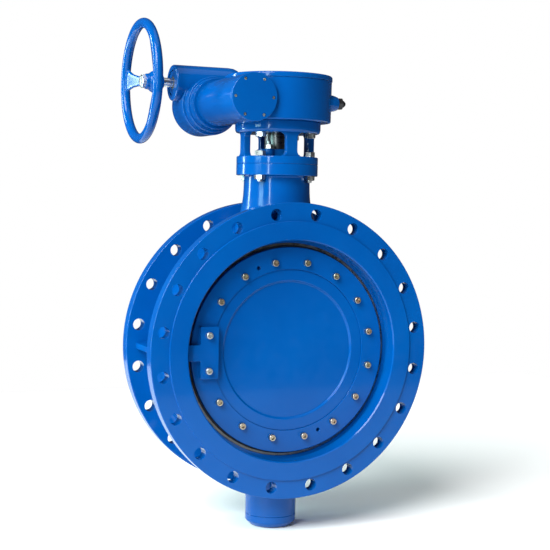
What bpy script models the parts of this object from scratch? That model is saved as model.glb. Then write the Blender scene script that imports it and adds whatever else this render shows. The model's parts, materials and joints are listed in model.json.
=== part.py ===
# Double-flanged, double-offset butterfly valve with a two-stage worm operator.
# Metres. +Z runs up the stem, Y along the pipe, and the front face looks to -Y.
# The origin is on the pipe's axis, midway between the flange faces.

import math

import bmesh
import bpy
from mathutils import Matrix, Vector

# ---- Driving dimensions: body ----
port_radius = 0.250
face_to_face = 0.229
flange_thickness = 0.031
bolt_circle_offset = 0.060      # port wall to bolt circle
flange_edge = 0.025             # bolt circle to rim
raised_face_width = 0.0425
raised_face_height = 0.004
bolt_hole_radius = 0.0135
bolt_hole_count = 20
barrel_wall = 0.024
port_chamfer = 0.0025
neck_radius = 0.0755
neck_rise = 0.086               # rim to the neck's top face
neck_flange_radius = 0.094
neck_flange_thickness = 0.026
boss_radius = 0.058
boss_drop = 0.055               # rim to the bottom boss's end
cover_thickness = 0.027

# ---- Driving dimensions: seat, disc and stem ----
stem_offset = 0.004             # second eccentricity, stem to port axis
seat_offset = 0.0675            # first eccentricity, stem to sealing plane
seal_height = 0.0115            # port wall to sealing circle
seat_ring_width = 0.0045
shoulder_front = 0.0715
seat_depth = 0.016
seal_thickness = 0.0078
seal_crown = 0.0032
ring_front = 0.082
ring_gap = 0.0045               # sealing circle to retaining ring
ring_width = 0.050
disc_recess = 0.008
disc_recess_edge = 0.024
disc_plate_back = 0.046
screw_count = 16
screw_circle_inset = 0.037      # sealing circle to screw circle
screw_radius = 0.0056
screw_head_radius = 0.009
screw_head_height = 0.0115
screw_length = 0.022
jack_turn = math.radians(-22.5)
jack_radius = 0.0045
seal_foot = 0.024               # retaining ring's rim to the seal's inner edge
rib_spacing = 0.095
rib_half = 0.008
stop_plate_thickness = 0.012
stop_plate_half = (0.021, 0.058)
stop_plate_shift = 0.003
stop_tab_half = 0.018
stop_tab_gap = 0.0065           # tab to the port wall
stem_radius = 0.030
hub_wall = 0.017
hub_length = 0.115
hub_to_port = 0.028
pin_radius = 0.008
bush_wall = 0.0068
bush_length = 0.070
bush_start = 0.012              # port wall to bush
stub_rise = 0.014               # boss's end to the stub shaft's end
seal_groove = 0.004
packing_width = 0.016
packing_depth = 0.044
packing_drop = 0.073            # neck's top to the packing's base
fit_gap = 0.0003
running_gap = 0.0010
key_width = 0.016
key_height = 0.011
key_length = 0.048
gland_lift = 0.020              # neck's top to the gland flange
gland_thickness = 0.014
gland_ear_end = 0.009           # stud to the ear's end
gland_turn = math.radians(45)
nut_flats = 0.018
nut_height = 0.010
stud_radius = 0.0055

# ---- Driving dimensions: yoke ----
yoke_foot = 0.0175
yoke_window = 0.0535
yoke_head = 0.0255
yoke_head_radius = 0.0986
yoke_post = (0.016, 0.027)      # radial, tangential
yoke_post_radius = 0.079
yoke_clearance = 0.0015

# ---- Driving dimensions: quarter-turn gearbox ----
drum_wall = 0.012
drum_clearance = 0.0197         # wheel's tips to the drum's wall
drum_floor = 0.014
drum_height = 0.0935
lid_thickness = 0.012
worm_centre = 0.106             # stem to worm
worm_height = 0.0455            # drum's base to worm axis
wheel_teeth = 35
wheel_width = 0.023
sector_degrees = (65, 205)      # the toothed part, from the +X side
worm_pitch_radius = 0.0196
tunnel_radius = 0.0535
tunnel_wall = 0.019
end_cover_thickness = 0.010
wheel_hub_radius = 0.046
worm_journal_radius = 0.0125
bearing_width = 0.018
stop_radius = 0.008
stop_side = 0.048
stop_boss_radius = 0.0185
stop_boss_reach = 0.006         # past the drum's wall
stop_nut_height = 0.010

# ---- Driving dimensions: first stage and handwheel ----
first_centre = 0.051
first_teeth = 20
first_starts = 2
first_width = 0.016
input_pitch_radius = 0.015
input_journal_radius = 0.0105
first_y = 0.200
first_case_radius = 0.072
first_case_back = 0.245
first_steps = ((0.060, 0.024), (0.066, 0.022))  # radius and length of each ring
input_tube_radius = 0.043
input_tube_wall = 0.0145
input_tube_left = 0.087         # worm axis to the open end
input_tube_right = 0.084        # worm axis to the round end
input_bush_length = 0.015
first_chamber_radius = 0.046
first_cover_thickness = 0.010
handwheel_reach = 0.163         # worm axis to the rim's plane
handwheel_dish = 0.031          # rim's plane to the hub's middle
handwheel_radius = 0.1355
handwheel_rim = 0.0120
handwheel_hub_radius = 0.025
handwheel_hub_length = 0.044
handwheel_nut_height = 0.009
spoke_count = 3
spoke_turn = math.radians(-85)
spoke_width = 0.026
spoke_half_thickness = 0.0045

pressure_angle = math.radians(20)
backlash = 0.0012
large_steps = 60                # sides of the pipe-sized rounds
worm_steps = 18                 # steps in a turn of the threads

# ---- Derived places ----
flange_radius = port_radius + bolt_circle_offset + flange_edge
bolt_circle_radius = port_radius + bolt_circle_offset
raised_face_radius = port_radius + raised_face_width
barrel_radius = port_radius + barrel_wall
half_face = face_to_face / 2
seal_radius = port_radius - seal_height
seat_slope = seat_offset / seal_radius
stem_x = -stem_offset
neck_top = flange_radius + neck_rise
boss_end = -(flange_radius + boss_drop)
yoke_base = neck_top + fit_gap
yoke_top = neck_top + yoke_foot + yoke_window + yoke_head
drum_base = yoke_top + fit_gap
drum_top = drum_base + drum_height
worm_z = drum_base + worm_height
worm_x = stem_x - worm_centre
input_z = worm_z + first_centre
packing_base = neck_top - packing_drop
gland_stud_circle = stem_radius + packing_width + stud_radius
yoke_bore = gland_stud_circle + gland_ear_end + yoke_clearance
wheel_pitch_radius = worm_centre - worm_pitch_radius
wheel_module = 2 * wheel_pitch_radius / wheel_teeth
drum_radius = wheel_pitch_radius + wheel_module + drum_clearance + drum_wall
tunnel_bore = tunnel_radius - tunnel_wall
stem_top = drum_top - 0.006
hub_end = port_radius - hub_to_port
screw_circle = seal_radius - screw_circle_inset
ring_outer = seal_radius - ring_gap
ring_inner = ring_outer - ring_width
ring_back = seat_offset + seal_thickness / 2 + fit_gap
plate_front = seat_offset + seal_thickness / 2
seal_inner = ring_outer - seal_foot
screw_turn = math.pi / screw_count


def clear_of_drum(radius):
    """Distance from the stem along Y at which a round face of this radius,
    centred on the worm's axis, just clears the drum."""
    beside = worm_centre - radius
    return math.sqrt(drum_radius ** 2 - beside ** 2) + running_gap


tunnel_front = clear_of_drum(tunnel_radius)
tunnel_back = clear_of_drum(first_steps[0][0])


def clear_scene():
    for thing in list(bpy.data.objects):
        bpy.data.objects.remove(thing, do_unlink=True)


def new_collection(name):
    group = bpy.data.collections.new(name)
    bpy.context.scene.collection.children.link(group)
    return group


clear_scene()
parts = new_collection("butterfly_valve")
tools = new_collection("cutters")


def paint(name, colour, roughness, metallic):
    material = bpy.data.materials.new(name)
    material.use_nodes = True
    shader = material.node_tree.nodes["Principled BSDF"]
    shader.inputs["Base Color"].default_value = (*colour, 1)
    shader.inputs["Roughness"].default_value = roughness
    shader.inputs["Metallic"].default_value = metallic
    material.diffuse_color = (*colour, 1)
    return material


blue = paint("blue_epoxy", (0.0, 0.12, 0.52), 0.22, 0.0)
steel = paint("stainless_steel", (0.55, 0.55, 0.56), 0.3, 1.0)
dark_steel = paint("dark_steel", (0.05, 0.05, 0.055), 0.45, 0.8)
plated = paint("yellow_zinc", (0.62, 0.50, 0.28), 0.35, 1.0)
bronze = paint("bronze", (0.55, 0.36, 0.16), 0.35, 1.0)
rubber = paint("seal_rubber", (0.015, 0.015, 0.016), 0.7, 0.0)
graphite = paint("graphite_packing", (0.04, 0.04, 0.042), 0.8, 0.0)


def smooth(mesh):
    mesh.shade_smooth()
    mesh.set_sharp_from_angle(angle=math.radians(35))


def place(mesh, name, material=None, tool=False):
    """Puts a mesh in its collection: a sub-part, or a hidden tool."""
    thing = bpy.data.objects.new(name, mesh)
    if tool:
        tools.objects.link(thing)
        thing.hide_render = True
        thing.display_type = "WIRE"
    else:
        parts.objects.link(thing)
        mesh.materials.append(material)
        smooth(mesh)
    return thing


def turn_to(axis):
    """Turns local Z to the named world axis."""
    turns = {"Z": Matrix(),
             "Y": Matrix.Rotation(math.radians(-90), 4, "X"),
             "X": Matrix.Rotation(math.radians(90), 4, "Y")}
    return turns[axis]


def finish_mesh(builder, name, axis="Z", at=(0, 0, 0)):
    bmesh.ops.remove_doubles(builder, verts=builder.verts, dist=1e-6)
    bmesh.ops.recalc_face_normals(builder, faces=builder.faces)
    builder.transform(Matrix.Translation(at) @ turn_to(axis))
    mesh = bpy.data.meshes.new(name)
    builder.to_mesh(mesh)
    builder.free()
    return mesh


def turned(name, profile, steps, axis="Z", at=(0, 0, 0)):
    """A profile of (radius, height) points screwed about an axis; it closes on
    itself, or on the axis where it starts and ends there."""
    count = len(profile)
    open_ends = profile[0][0] < 1e-9 and profile[-1][0] < 1e-9
    edges = [(i, (i + 1) % count) for i in range(count - 1 if open_ends else count)]
    outline = bpy.data.meshes.new(name)
    outline.from_pydata([(r, 0, h) for r, h in profile], edges, [])
    shape = bpy.data.objects.new(name, outline)
    tools.objects.link(shape)
    screw = shape.modifiers.new("turn", "SCREW")
    screw.axis = "Z"
    screw.steps = steps
    screw.render_steps = steps
    screw.use_merge_vertices = True
    screw.merge_threshold = 0.00001
    result = shape.evaluated_get(bpy.context.evaluated_depsgraph_get())
    builder = bmesh.new()
    builder.from_mesh(result.to_mesh())
    result.to_mesh_clear()
    bpy.data.objects.remove(shape)
    bpy.data.meshes.remove(outline)
    return finish_mesh(builder, name, axis, at)


def tube(name, inner, outer, low, high, steps, axis="Z", at=(0, 0, 0), chamfer=0.0):
    c = chamfer
    profile = [(outer - c, low), (outer, low + c), (outer, high - c), (outer - c, high),
               (inner, high), (inner, low)]
    if not c:
        profile = [(outer, low), (outer, high), (inner, high), (inner, low)]
    return turned(name, profile, steps, axis, at)


def rod(name, radius, low, high, steps, axis="Z", at=(0, 0, 0), end_radius=None, turn=0.0):
    builder = bmesh.new()
    top = radius if end_radius is None else end_radius
    bmesh.ops.create_cone(builder, cap_ends=True, segments=steps, radius1=radius,
                          radius2=top, depth=high - low)
    shift = Matrix.Translation((0, 0, (low + high) / 2)) @ Matrix.Rotation(turn, 4, "Z")
    builder.transform(shift)
    return finish_mesh(builder, name, axis, at)


def block(name, low, high, turn=0.0, pivot=(0, 0, 0)):
    builder = bmesh.new()
    bmesh.ops.create_cube(builder, size=1)
    size = Vector(high) - Vector(low)
    centre = (Vector(high) + Vector(low)) / 2
    move = Matrix.Translation(pivot) @ Matrix.Rotation(turn, 4, "Z")
    builder.transform(move @ Matrix.Translation(centre) @ Matrix.Diagonal((*size, 1)))
    return finish_mesh(builder, name)


def merge(name, meshes):
    """One mesh holding several separate closed shapes, for use as a cutter."""
    builder = bmesh.new()
    for mesh in meshes:
        builder.from_mesh(mesh)
    mesh = bpy.data.meshes.new(name)
    builder.to_mesh(mesh)
    builder.free()
    return mesh


def boolean(target, mesh, operation):
    tool = place(mesh, f"{target.name}.{operation.lower()}{len(target.modifiers)}", tool=True)
    modifier = target.modifiers.new(tool.name, "BOOLEAN")
    modifier.operation = operation
    modifier.solver = "EXACT"
    modifier.object = tool


def cut(target, mesh):
    boolean(target, mesh, "DIFFERENCE")


def join(target, mesh):
    boolean(target, mesh, "UNION")


def around(count, radius, offset=0.0):
    """Points (x, z) on a circle, the first at the offset from straight up."""
    for i in range(count):
        angle = offset + 2 * math.pi * i / count
        yield radius * math.sin(angle), radius * math.cos(angle)


def hex_radius(across_flats):
    return across_flats / math.sqrt(3)


# ---- Gearing ----
def involute(angle):
    return math.tan(angle) - angle


def tooth_half_angle(radius, pitch_radius, teeth, thickness):
    base = pitch_radius * math.cos(pressure_angle)
    flank = math.acos(min(1.0, base / max(radius, base)))
    return thickness / (2 * pitch_radius) + involute(pressure_angle) - involute(flank)


def worm_wheel(name, pitch_radius, teeth, lead_slope, width, rim=None, sector=None):
    """A helical wheel about Z. A tooth gap faces the angle zero.
    sector gives the (first, last) angle that has teeth; past it the wheel is
    cut down to the radius rim."""
    module = 2 * pitch_radius / teeth
    tip = pitch_radius + module
    root = pitch_radius - 1.2 * module
    pitch = 2 * math.pi / teeth
    thickness = math.pi * module / 2 - backlash
    levels = [root, pitch_radius, tip]
    flank = [(r, tooth_half_angle(r, pitch_radius, teeth, thickness)) for r in levels]
    outline = []
    for i in range(teeth):
        centre = (i + 0.5) * pitch
        degrees = math.degrees(centre)
        if sector and not sector[0] < degrees < sector[1]:
            continue
        tooth = [(r, centre - half) for r, half in flank]
        tooth += [(r, centre + half) for r, half in reversed(flank)]
        outline.append(tooth)
    builder = bmesh.new()
    twist = lead_slope / pitch_radius
    sections = []
    for height in (-width / 2, width / 2):
        turn = height * twist
        points = []
        if sector:
            first, last = (math.radians(a) for a in sector)
            span = last - first
            back = [last + (2 * math.pi - span) * k / 20 for k in range(21)]
            points += [(root, first)]
            for tooth in outline:
                points += tooth
            points += [(root, last)] + [(rim, a) for a in back]
        else:
            for tooth in outline:
                points += tooth
        sections.append([builder.verts.new((r * math.cos(a + turn), r * math.sin(a + turn),
                                            height)) for r, a in points])
    lower, upper = sections
    count = len(lower)
    for i in range(count):
        j = (i + 1) % count
        builder.faces.new((lower[i], lower[j], upper[j], upper[i]))
    builder.faces.new(list(reversed(lower)))
    builder.faces.new(upper)
    return finish_mesh(builder, name)


def worm(pitch_radius, module, starts, turns_each_way, journal_radius, ends):
    """A right-hand worm about Z with a crest at the angle zero at mid-length.
    Its journals run to the heights given in ends."""
    segments = worm_steps
    pitch = math.pi * module
    lead = pitch * starts
    slope = math.tan(pressure_angle)
    root = pitch_radius - 1.2 * module
    tip = pitch_radius + module
    root_half = pitch / 4 + 1.2 * module * slope
    tip_half = pitch / 4 - module * slope
    shape = []
    for start in range(starts):
        middle = (start + 0.5) * pitch
        shape += [(start * pitch, 0), (middle - root_half, 0), (middle - tip_half, 1),
                  (middle + tip_half, 1), (middle + root_half, 0)]
    steps = int(round(2 * turns_each_way * segments)) + segments
    fade = segments // 3
    builder = bmesh.new()
    rows = []
    for k in range(steps + 1):
        angle = 2 * math.pi * k / segments
        rise = lead * k / segments
        full = min(1.0, k / fade, (steps - k) / fade)
        row = []
        for along, high in shape:
            r = root + (tip - root) * high * full
            row.append(builder.verts.new((r * math.cos(angle), r * math.sin(angle),
                                          rise + along)))
        rows.append(row)
    # the row a whole turn on starts where this row ends
    last = []
    for k in range(steps - segments + 1, steps + 1):
        angle = 2 * math.pi * k / segments
        rise = lead * (k + segments) / segments
        last.append(builder.verts.new((root * math.cos(angle), root * math.sin(angle), rise)))

    def point(k, j):
        if j < len(shape):
            return rows[k][j]
        if k + segments <= steps:
            return rows[k + segments][0]
        return last[k - (steps - segments) - 1]

    for k in range(steps):
        for j in range(len(shape)):
            corners = [point(k, j), point(k + 1, j), point(k + 1, j + 1), point(k, j + 1)]
            builder.faces.new(corners)
    total = lead * (steps + segments) / segments
    low_ring = [builder.verts.new((root * math.cos(2 * math.pi * k / segments),
                                   root * math.sin(2 * math.pi * k / segments), -lead * 0.1))
                for k in range(segments)]
    for k in range(segments - 1):
        builder.faces.new((low_ring[k], low_ring[k + 1], rows[k + 1][0], rows[k][0]))
    seam = [low_ring[-1], low_ring[0]] + rows[0] + [rows[segments][0], rows[segments - 1][0]]
    builder.faces.new(seam)
    high_ring = {}
    for k in range(steps - segments + 1, steps + 1):
        angle = 2 * math.pi * k / segments
        high_ring[k] = builder.verts.new((root * math.cos(angle), root * math.sin(angle),
                                          total + lead * 0.1))
    first = steps - segments + 1
    for k in range(first, steps):
        builder.faces.new((point(k, len(shape)), point(k + 1, len(shape)),
                           high_ring[k + 1], high_ring[k]))
    top = rows[steps][:]
    seam = [point(steps, len(shape))] + list(reversed(top))
    builder.faces.new(seam + [point(first, len(shape)), high_ring[first], high_ring[steps]])
    middle = total / 2
    # the crest that passes the angle zero nearest the middle is brought to it
    crest = round((middle - pitch / 2) / pitch) * pitch + pitch / 2
    for vertex in builder.verts:
        vertex.co.z -= crest
    high = [high_ring[k] for k in sorted(high_ring)]
    for ring, shoulder, end in ((low_ring, -0.002, ends[0]), (high, 0.002, ends[1])):
        for height in (ring[0].co.z + shoulder, end):
            new_ring = []
            for vertex in ring:
                flat = Vector((vertex.co.x, vertex.co.y)).normalized() * journal_radius
                new_ring.append(builder.verts.new((flat.x, flat.y, height)))
            for i in range(len(ring)):
                j = (i + 1) % len(ring)
                builder.faces.new((ring[i], ring[j], new_ring[j], new_ring[i]))
            ring = new_ring
        builder.faces.new(ring)
    return builder


# ---- Body ----
def make_body():
    y = half_face
    face = y - raised_face_height
    inner = y - raised_face_height - flange_thickness
    fillet = 0.012
    half = [(raised_face_radius, y), (raised_face_radius, face), (flange_radius, face),
            (flange_radius, inner), (barrel_radius + fillet, inner),
            (barrel_radius, inner - fillet)]
    outer = [(0, y)] + half + [(r, -h) for r, h in reversed(half)] + [(0, -y)]
    body = place(turned("valve_body", outer, large_steps, "Y"), "valve_body", blue)
    flare = 0.026
    neck = [(0, 0.20), (neck_radius + flare, 0.20), (neck_radius + flare, barrel_radius - 0.012),
            (neck_radius + flare * 0.3, barrel_radius + 0.012),
            (neck_radius, barrel_radius + 0.045),
            (neck_radius, neck_top - neck_flange_thickness),
            (neck_flange_radius, neck_top - neck_flange_thickness),
            (neck_flange_radius, neck_top), (0, neck_top)]
    join(body, turned("neck", neck, 32, at=(stem_x, 0, 0)))
    boss = [(0, -0.20), (boss_radius + 0.02, -0.20), (boss_radius + 0.02, -barrel_radius),
            (boss_radius, -barrel_radius - 0.03), (boss_radius, boss_end), (0, boss_end)]
    join(body, turned("boss", boss, 32, at=(stem_x, 0, 0)))
    rib = 0.009
    for side in (-1, 1):
        ends = sorted((side * (barrel_radius - 0.01), side * (flange_radius - 0.022)))
        join(body, block("rib", (ends[0], -inner - 0.002, -rib), (ends[1], inner + 0.002, rib)))
    rib_inner = port_radius - seal_height + seat_ring_width + fit_gap
    slope_end = shoulder_front - seat_depth - 0.004
    cavity = [(0, -y - 0.01), (port_radius + port_chamfer + 0.01, -y - 0.01),
              (port_radius, -y + port_chamfer), (port_radius, -shoulder_front),
              (rib_inner, -shoulder_front), (rib_inner, -slope_end),
              (port_radius, -slope_end + 0.012), (port_radius, y - port_chamfer),
              (port_radius + port_chamfer + 0.01, y + 0.01), (0, y + 0.01)]
    cut(body, turned("port", cavity, large_steps, "Y"))
    bush = stem_radius + bush_wall + 2 * fit_gap
    passage = stem_radius + running_gap
    box_radius = stem_radius + packing_width + 2 * fit_gap
    lowest = port_radius - 0.03
    bush_base = port_radius + bush_start
    upper = [(0, lowest), (bush, lowest), (bush, bush_base + bush_length + fit_gap),
             (passage, bush_base + bush_length + fit_gap), (passage, packing_base),
             (box_radius, packing_base), (box_radius, neck_top + 0.01), (0, neck_top + 0.01)]
    cut(body, turned("upper_bore", upper, 28, at=(stem_x, 0, 0)))
    lower = [(0, -lowest), (bush, -lowest), (bush, boss_end - 0.01), (0, boss_end - 0.01)]
    cut(body, turned("lower_bore", lower, 28, at=(stem_x, 0, 0)))
    holes = []
    offset = math.pi / bolt_hole_count
    for x, z in around(bolt_hole_count, bolt_circle_radius, offset):
        for side in (-1, 1):
            ends = sorted((side * (face + 0.005), side * (inner - 0.005)))
            holes.append(rod("hole", bolt_hole_radius, ends[0], ends[1], 10, "Y", (x, 0, z)))
    cut(body, merge("bolt_holes", holes))


# ---- Seat, seal and disc ----
def seat_radius(depth):
    """Radius of the sealing cone at a depth in front of the stem."""
    return seal_radius + seat_slope * (seat_offset - depth)


def make_seat_ring():
    front = shoulder_front - 0.0005
    back = front - seat_depth
    outer = seal_radius + seat_ring_width
    profile = [(outer, -front), (outer, -back), (seat_radius(back) + fit_gap, -back),
               (seat_radius(front) + fit_gap, -front)]
    place(turned("body_seat_ring", profile, large_steps, "Y"), "body_seat_ring", steel)


def make_seal():
    half = seal_thickness / 2
    profile = []
    for k in range(3):
        along = half * (k - 1)
        drop = seal_crown * (1 - math.sqrt(max(0.0, 1 - (along / half) ** 2)))
        profile.append((seat_radius(seat_offset - along) - drop, -seat_offset + along))
    profile += [(seal_inner, -seat_offset + half), (seal_inner, -seat_offset - half)]
    place(turned("disc_seal_ring", profile, large_steps, "Y"), "disc_seal_ring", rubber)


def make_retaining_ring():
    ring = place(tube("seal_retaining_ring", ring_inner, ring_outer, -ring_front, -ring_back,
                      large_steps, "Y"), "seal_retaining_ring", blue)
    holes = []
    for x, z in around(screw_count, screw_circle, screw_turn):
        holes.append(rod("hole", screw_radius + 2 * fit_gap, -ring_front - 0.01,
                         -ring_back + 0.01, 8, "Y", (x, 0, z)))
    for x, z in around(2, screw_circle, jack_turn):
        holes.append(rod("jack", jack_radius, -ring_front - 0.01, -ring_back + 0.01, 8, "Y",
                         (x, 0, z)))
    cut(ring, merge("ring_holes", holes))


def make_disc():
    step = seal_inner - fit_gap
    seal_back = seat_offset - seal_thickness / 2 - fit_gap
    centre_front = ring_front - 0.003
    floor_front = centre_front - disc_recess * 0.6
    recess_radius = ring_inner - disc_recess_edge
    spigot = ring_inner - fit_gap
    rim = ring_outer - 0.002
    profile = [(0, -floor_front), (recess_radius - 0.006, -floor_front),
               (recess_radius, -centre_front), (spigot, -centre_front),
               (spigot, -plate_front), (step, -plate_front), (step, -seal_back),
               (rim, -seal_back), (rim, -seal_back + 0.010),
               (rim - 0.030, -disc_plate_back), (0, -disc_plate_back)]
    disc = place(turned("disc", profile, large_steps, "Y"), "disc", blue)
    hub_radius = stem_radius + hub_wall
    for side in (-1, 1):
        low, high = sorted((side * (hub_end - hub_length), side * hub_end))
        join(disc, rod("hub", hub_radius, low, high, 32, at=(stem_x, 0, 0)))
        join(disc, block("web", (stem_x - hub_radius * 0.8, -disc_plate_back - 0.008, low + 0.004),
                         (stem_x + hub_radius * 0.8, 0, high - 0.012)))
    for level in (-1, 0, 1):
        reach = 0.165 if level == 0 else 0.140
        join(disc, rib_plate(level * rib_spacing, rib_half, reach))
    column = hub_end - hub_length + 0.004
    join(disc, block("spine", (stem_x - 0.016, -disc_plate_back - 0.006, -column),
                     (stem_x + 0.016, 0.012, column)))
    bore = stem_radius + fit_gap
    inner_end = hub_end - hub_length - 0.012
    for side in (-1, 1):
        low, high = sorted((side * inner_end, side * (hub_end + 0.02)))
        cut(disc, rod("stem_bore", bore, low, high, 28, at=(stem_x, 0, 0)))
        height = side * (hub_end - hub_length / 2)
        cut(disc, rod("pin_bore", pin_radius + fit_gap, -stem_radius - 0.010, hub_radius + 0.01,
                      12, "Y", (stem_x, 0, height)))
    holes = []
    for x, z in around(screw_count, screw_circle, screw_turn):
        holes.append(rod("tapped", screw_radius + 2 * fit_gap, -plate_front - 0.01,
                         -ring_front + screw_length + 0.001, 8, "Y", (x, 0, z)))
    cut(disc, merge("tapped_holes", holes))


def rib_plate(height, half, reach):
    """A tapering stiffening rib across the disc's back."""
    builder = bmesh.new()
    root = -disc_plate_back - 0.006
    outline = [(-reach, root), (reach, root), (reach - 0.03, root + 0.014), (0.05, -0.004),
               (-0.05, -0.004), (-reach + 0.03, root + 0.014)]
    lower = [builder.verts.new((x + stem_x, y, height - half)) for x, y in outline]
    upper = [builder.verts.new((x + stem_x, y, height + half)) for x, y in outline]
    builder.faces.new(lower)
    builder.faces.new(upper)
    for i in range(len(outline)):
        j = (i + 1) % len(outline)
        builder.faces.new((lower[i], lower[j], upper[j], upper[i]))
    return finish_mesh(builder, "rib")


def socket_screw(name, seat, x, z, length):
    """A cap screw along Y with its head in front of the seat."""
    head_front = -seat - fit_gap - screw_head_height
    end = -seat + length
    profile = [(0, head_front), (screw_head_radius, head_front),
               (screw_head_radius, -seat - fit_gap), (screw_radius, -seat - fit_gap),
               (screw_radius, end), (0, end)]
    place(turned(name, profile, 8, "Y", (x, 0, z)), name, plated)


def make_screws():
    for i, (x, z) in enumerate(around(screw_count, screw_circle, screw_turn)):
        on_stop = x < 0 and abs(z) < stop_plate_half[1]
        seat = ring_front + (stop_plate_thickness + fit_gap if on_stop else 0)
        length = screw_length + (stop_plate_thickness if on_stop else 0)
        socket_screw(f"retaining_screw_{i + 1:02d}", seat, x, z, length)


def make_stop_plate():
    """Bolted across two ring screws; its tab meets the shoulder when closed."""
    back = -ring_front - fit_gap
    front = back - stop_plate_thickness
    middle = -screw_circle * math.cos(screw_turn) + stop_plate_shift
    half_x, half_z = stop_plate_half
    plate = place(block("closing_stop", (middle - half_x, front, -half_z),
                        (middle + half_x, back, half_z)), "closing_stop", blue)
    reach = port_radius - stop_tab_gap
    join(plate, block("tab", (-reach, front, -stop_tab_half), (middle, back, stop_tab_half)))
    join(plate, block("heel", (-reach, front + 0.003, -stop_tab_half),
                      (-ring_outer - running_gap, -shoulder_front - fit_gap, stop_tab_half)))
    holes = []
    for x, z in around(screw_count, screw_circle, screw_turn):
        if x < 0 and abs(z) < half_z:
            holes.append(rod("hole", screw_radius + 2 * fit_gap, front - 0.01, back + 0.01, 8,
                             "Y", (x, 0, z)))
    cut(plate, merge("stop_holes", holes))


# ---- Stem ----
def make_stem():
    low = hub_end - hub_length - 0.010
    high = stem_top
    c = 0.002
    profile = [(0, low), (stem_radius - c, low), (stem_radius, low + c), (stem_radius, high - c),
               (stem_radius - c, high), (0, high)]
    shaft = place(turned("drive_shaft", profile, 28, at=(stem_x, 0, 0)), "drive_shaft", steel)
    key_z = worm_z + 0.004
    slot_x = stem_x + stem_radius - key_height / 2
    cut(shaft, block("keyway", (slot_x, -key_width / 2 - fit_gap, key_z - key_length / 2 - fit_gap),
                     (stem_x + stem_radius + 0.01, key_width / 2 + fit_gap,
                      key_z + key_length / 2 + fit_gap)))
    end = boss_end + stub_rise
    profile = [(0, -low), (stem_radius - c, -low), (stem_radius, -low - c), (stem_radius, end + c),
               (stem_radius - c, end), (0, end)]
    stub = place(turned("stub_shaft", profile, 28, at=(stem_x, 0, 0)), "stub_shaft", steel)
    middle = hub_end - hub_length / 2
    for name, thing, z in (("drive_shaft_pin", shaft, middle), ("stub_shaft_pin", stub, -middle)):
        cut(thing, rod("pin_bore", pin_radius + fit_gap, -2 * stem_radius, 2 * stem_radius, 12,
                       "Y", (stem_x, 0, z)))
        place(rod(name, pin_radius, -stem_radius - 0.006, stem_radius + hub_wall + 0.003, 12,
                  "Y", (stem_x, 0, z)), name, steel)
    key = block("drive_key", (slot_x + fit_gap, -key_width / 2, key_z - key_length / 2),
                (slot_x + fit_gap + key_height, key_width / 2, key_z + key_length / 2))
    place(key, "drive_key", dark_steel)


def make_stem_bearings():
    at = (stem_x, 0, 0)
    inner = stem_radius + fit_gap
    outer = inner + bush_wall
    base = port_radius + bush_start
    place(tube("upper_bush", inner, outer, base, base + bush_length, 28, at=at),
          "upper_bush", bronze)
    place(tube("lower_bush", inner, outer, -base - bush_length, -base, 28, at=at),
          "lower_bush", bronze)
    seat = boss_end + fit_gap
    place(rod("thrust_washer", outer, seat, boss_end + stub_rise - fit_gap, 32, at=at),
          "thrust_washer", bronze)
    drop = boss_end - fit_gap
    cover = [(0, drop), (boss_radius, drop), (boss_radius, drop - cover_thickness * 0.6),
             (boss_radius - 0.010, drop - cover_thickness), (0, drop - cover_thickness)]
    cap = place(turned("bottom_cover", cover, 32, at=at), "bottom_cover", blue)
    inner = outer + seal_groove
    floor = drop - seal_groove * 0.8
    cut(cap, tube("groove", inner, inner + seal_groove + 2 * fit_gap, floor, drop + 0.01, 28,
                  at=at))
    inner += fit_gap
    place(tube("bottom_cover_seal", inner, inner + seal_groove, floor + fit_gap, drop, 28,
               at=at), "bottom_cover_seal", rubber)


def make_gland():
    at = (stem_x, 0, 0)
    inner = stem_radius + fit_gap
    outer = stem_radius + packing_width + fit_gap
    place(tube("gland_packing", inner, outer, packing_base + fit_gap,
               packing_base + packing_depth, 28, at=at), "gland_packing", graphite)
    nose = packing_base + packing_depth + fit_gap
    low = neck_top + gland_lift
    high = low + gland_thickness
    sleeve = stem_radius + running_gap
    follower = place(tube("gland_follower", sleeve, outer, nose, high, 28, at=at),
                     "gland_follower", blue)
    for side in (0, math.pi):
        join(follower, block("ear", (sleeve + 0.003, -0.0115, low),
                             (gland_stud_circle + gland_ear_end, 0.0115, high),
                             gland_turn + side, at))
    holes = []
    for i, side in enumerate((0, math.pi)):
        x = stem_x + gland_stud_circle * math.cos(gland_turn + side)
        y = gland_stud_circle * math.sin(gland_turn + side)
        holes.append(rod("hole", stud_radius + 2 * fit_gap, low - 0.01, high + 0.01, 12,
                         at=(x, y, 0)))
        top = high + nut_height + 0.008
        place(rod(f"gland_stud_{i + 1}", stud_radius, neck_top + fit_gap, top, 12,
                  at=(x, y, 0)), f"gland_stud_{i + 1}", steel)
        nut_low = high + fit_gap
        nut = place(rod(f"gland_nut_{i + 1}", hex_radius(nut_flats), nut_low,
                        nut_low + nut_height, 6, at=(x, y, 0)), f"gland_nut_{i + 1}", steel)
        cut(nut, rod("thread", stud_radius + fit_gap, nut_low - 0.01, high + 0.05, 12,
                     at=(x, y, 0)))
    cut(follower, merge("stud_holes", holes))


def make_yoke():
    at = (stem_x, 0, 0)
    base = yoke_base
    foot = neck_top + yoke_foot
    head = foot + yoke_window
    lower = [(neck_flange_radius, base), (neck_flange_radius, foot), (yoke_bore, foot),
             (yoke_bore, base)]
    yoke = place(turned("mounting_yoke", lower, 36, at=at), "mounting_yoke", blue)
    bore = yoke_bore - 0.018
    upper = [(yoke_head_radius, head), (yoke_head_radius, yoke_top), (bore, yoke_top),
             (bore, head)]
    join(yoke, turned("head", upper, 36, at=at))
    thick, wide = yoke_post
    for i in range(4):
        join(yoke, block("post", (yoke_post_radius - thick / 2, -wide / 2, foot - 0.008),
                         (yoke_post_radius + thick / 2, wide / 2, head + 0.008),
                         math.pi / 2 * i, at))


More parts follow.
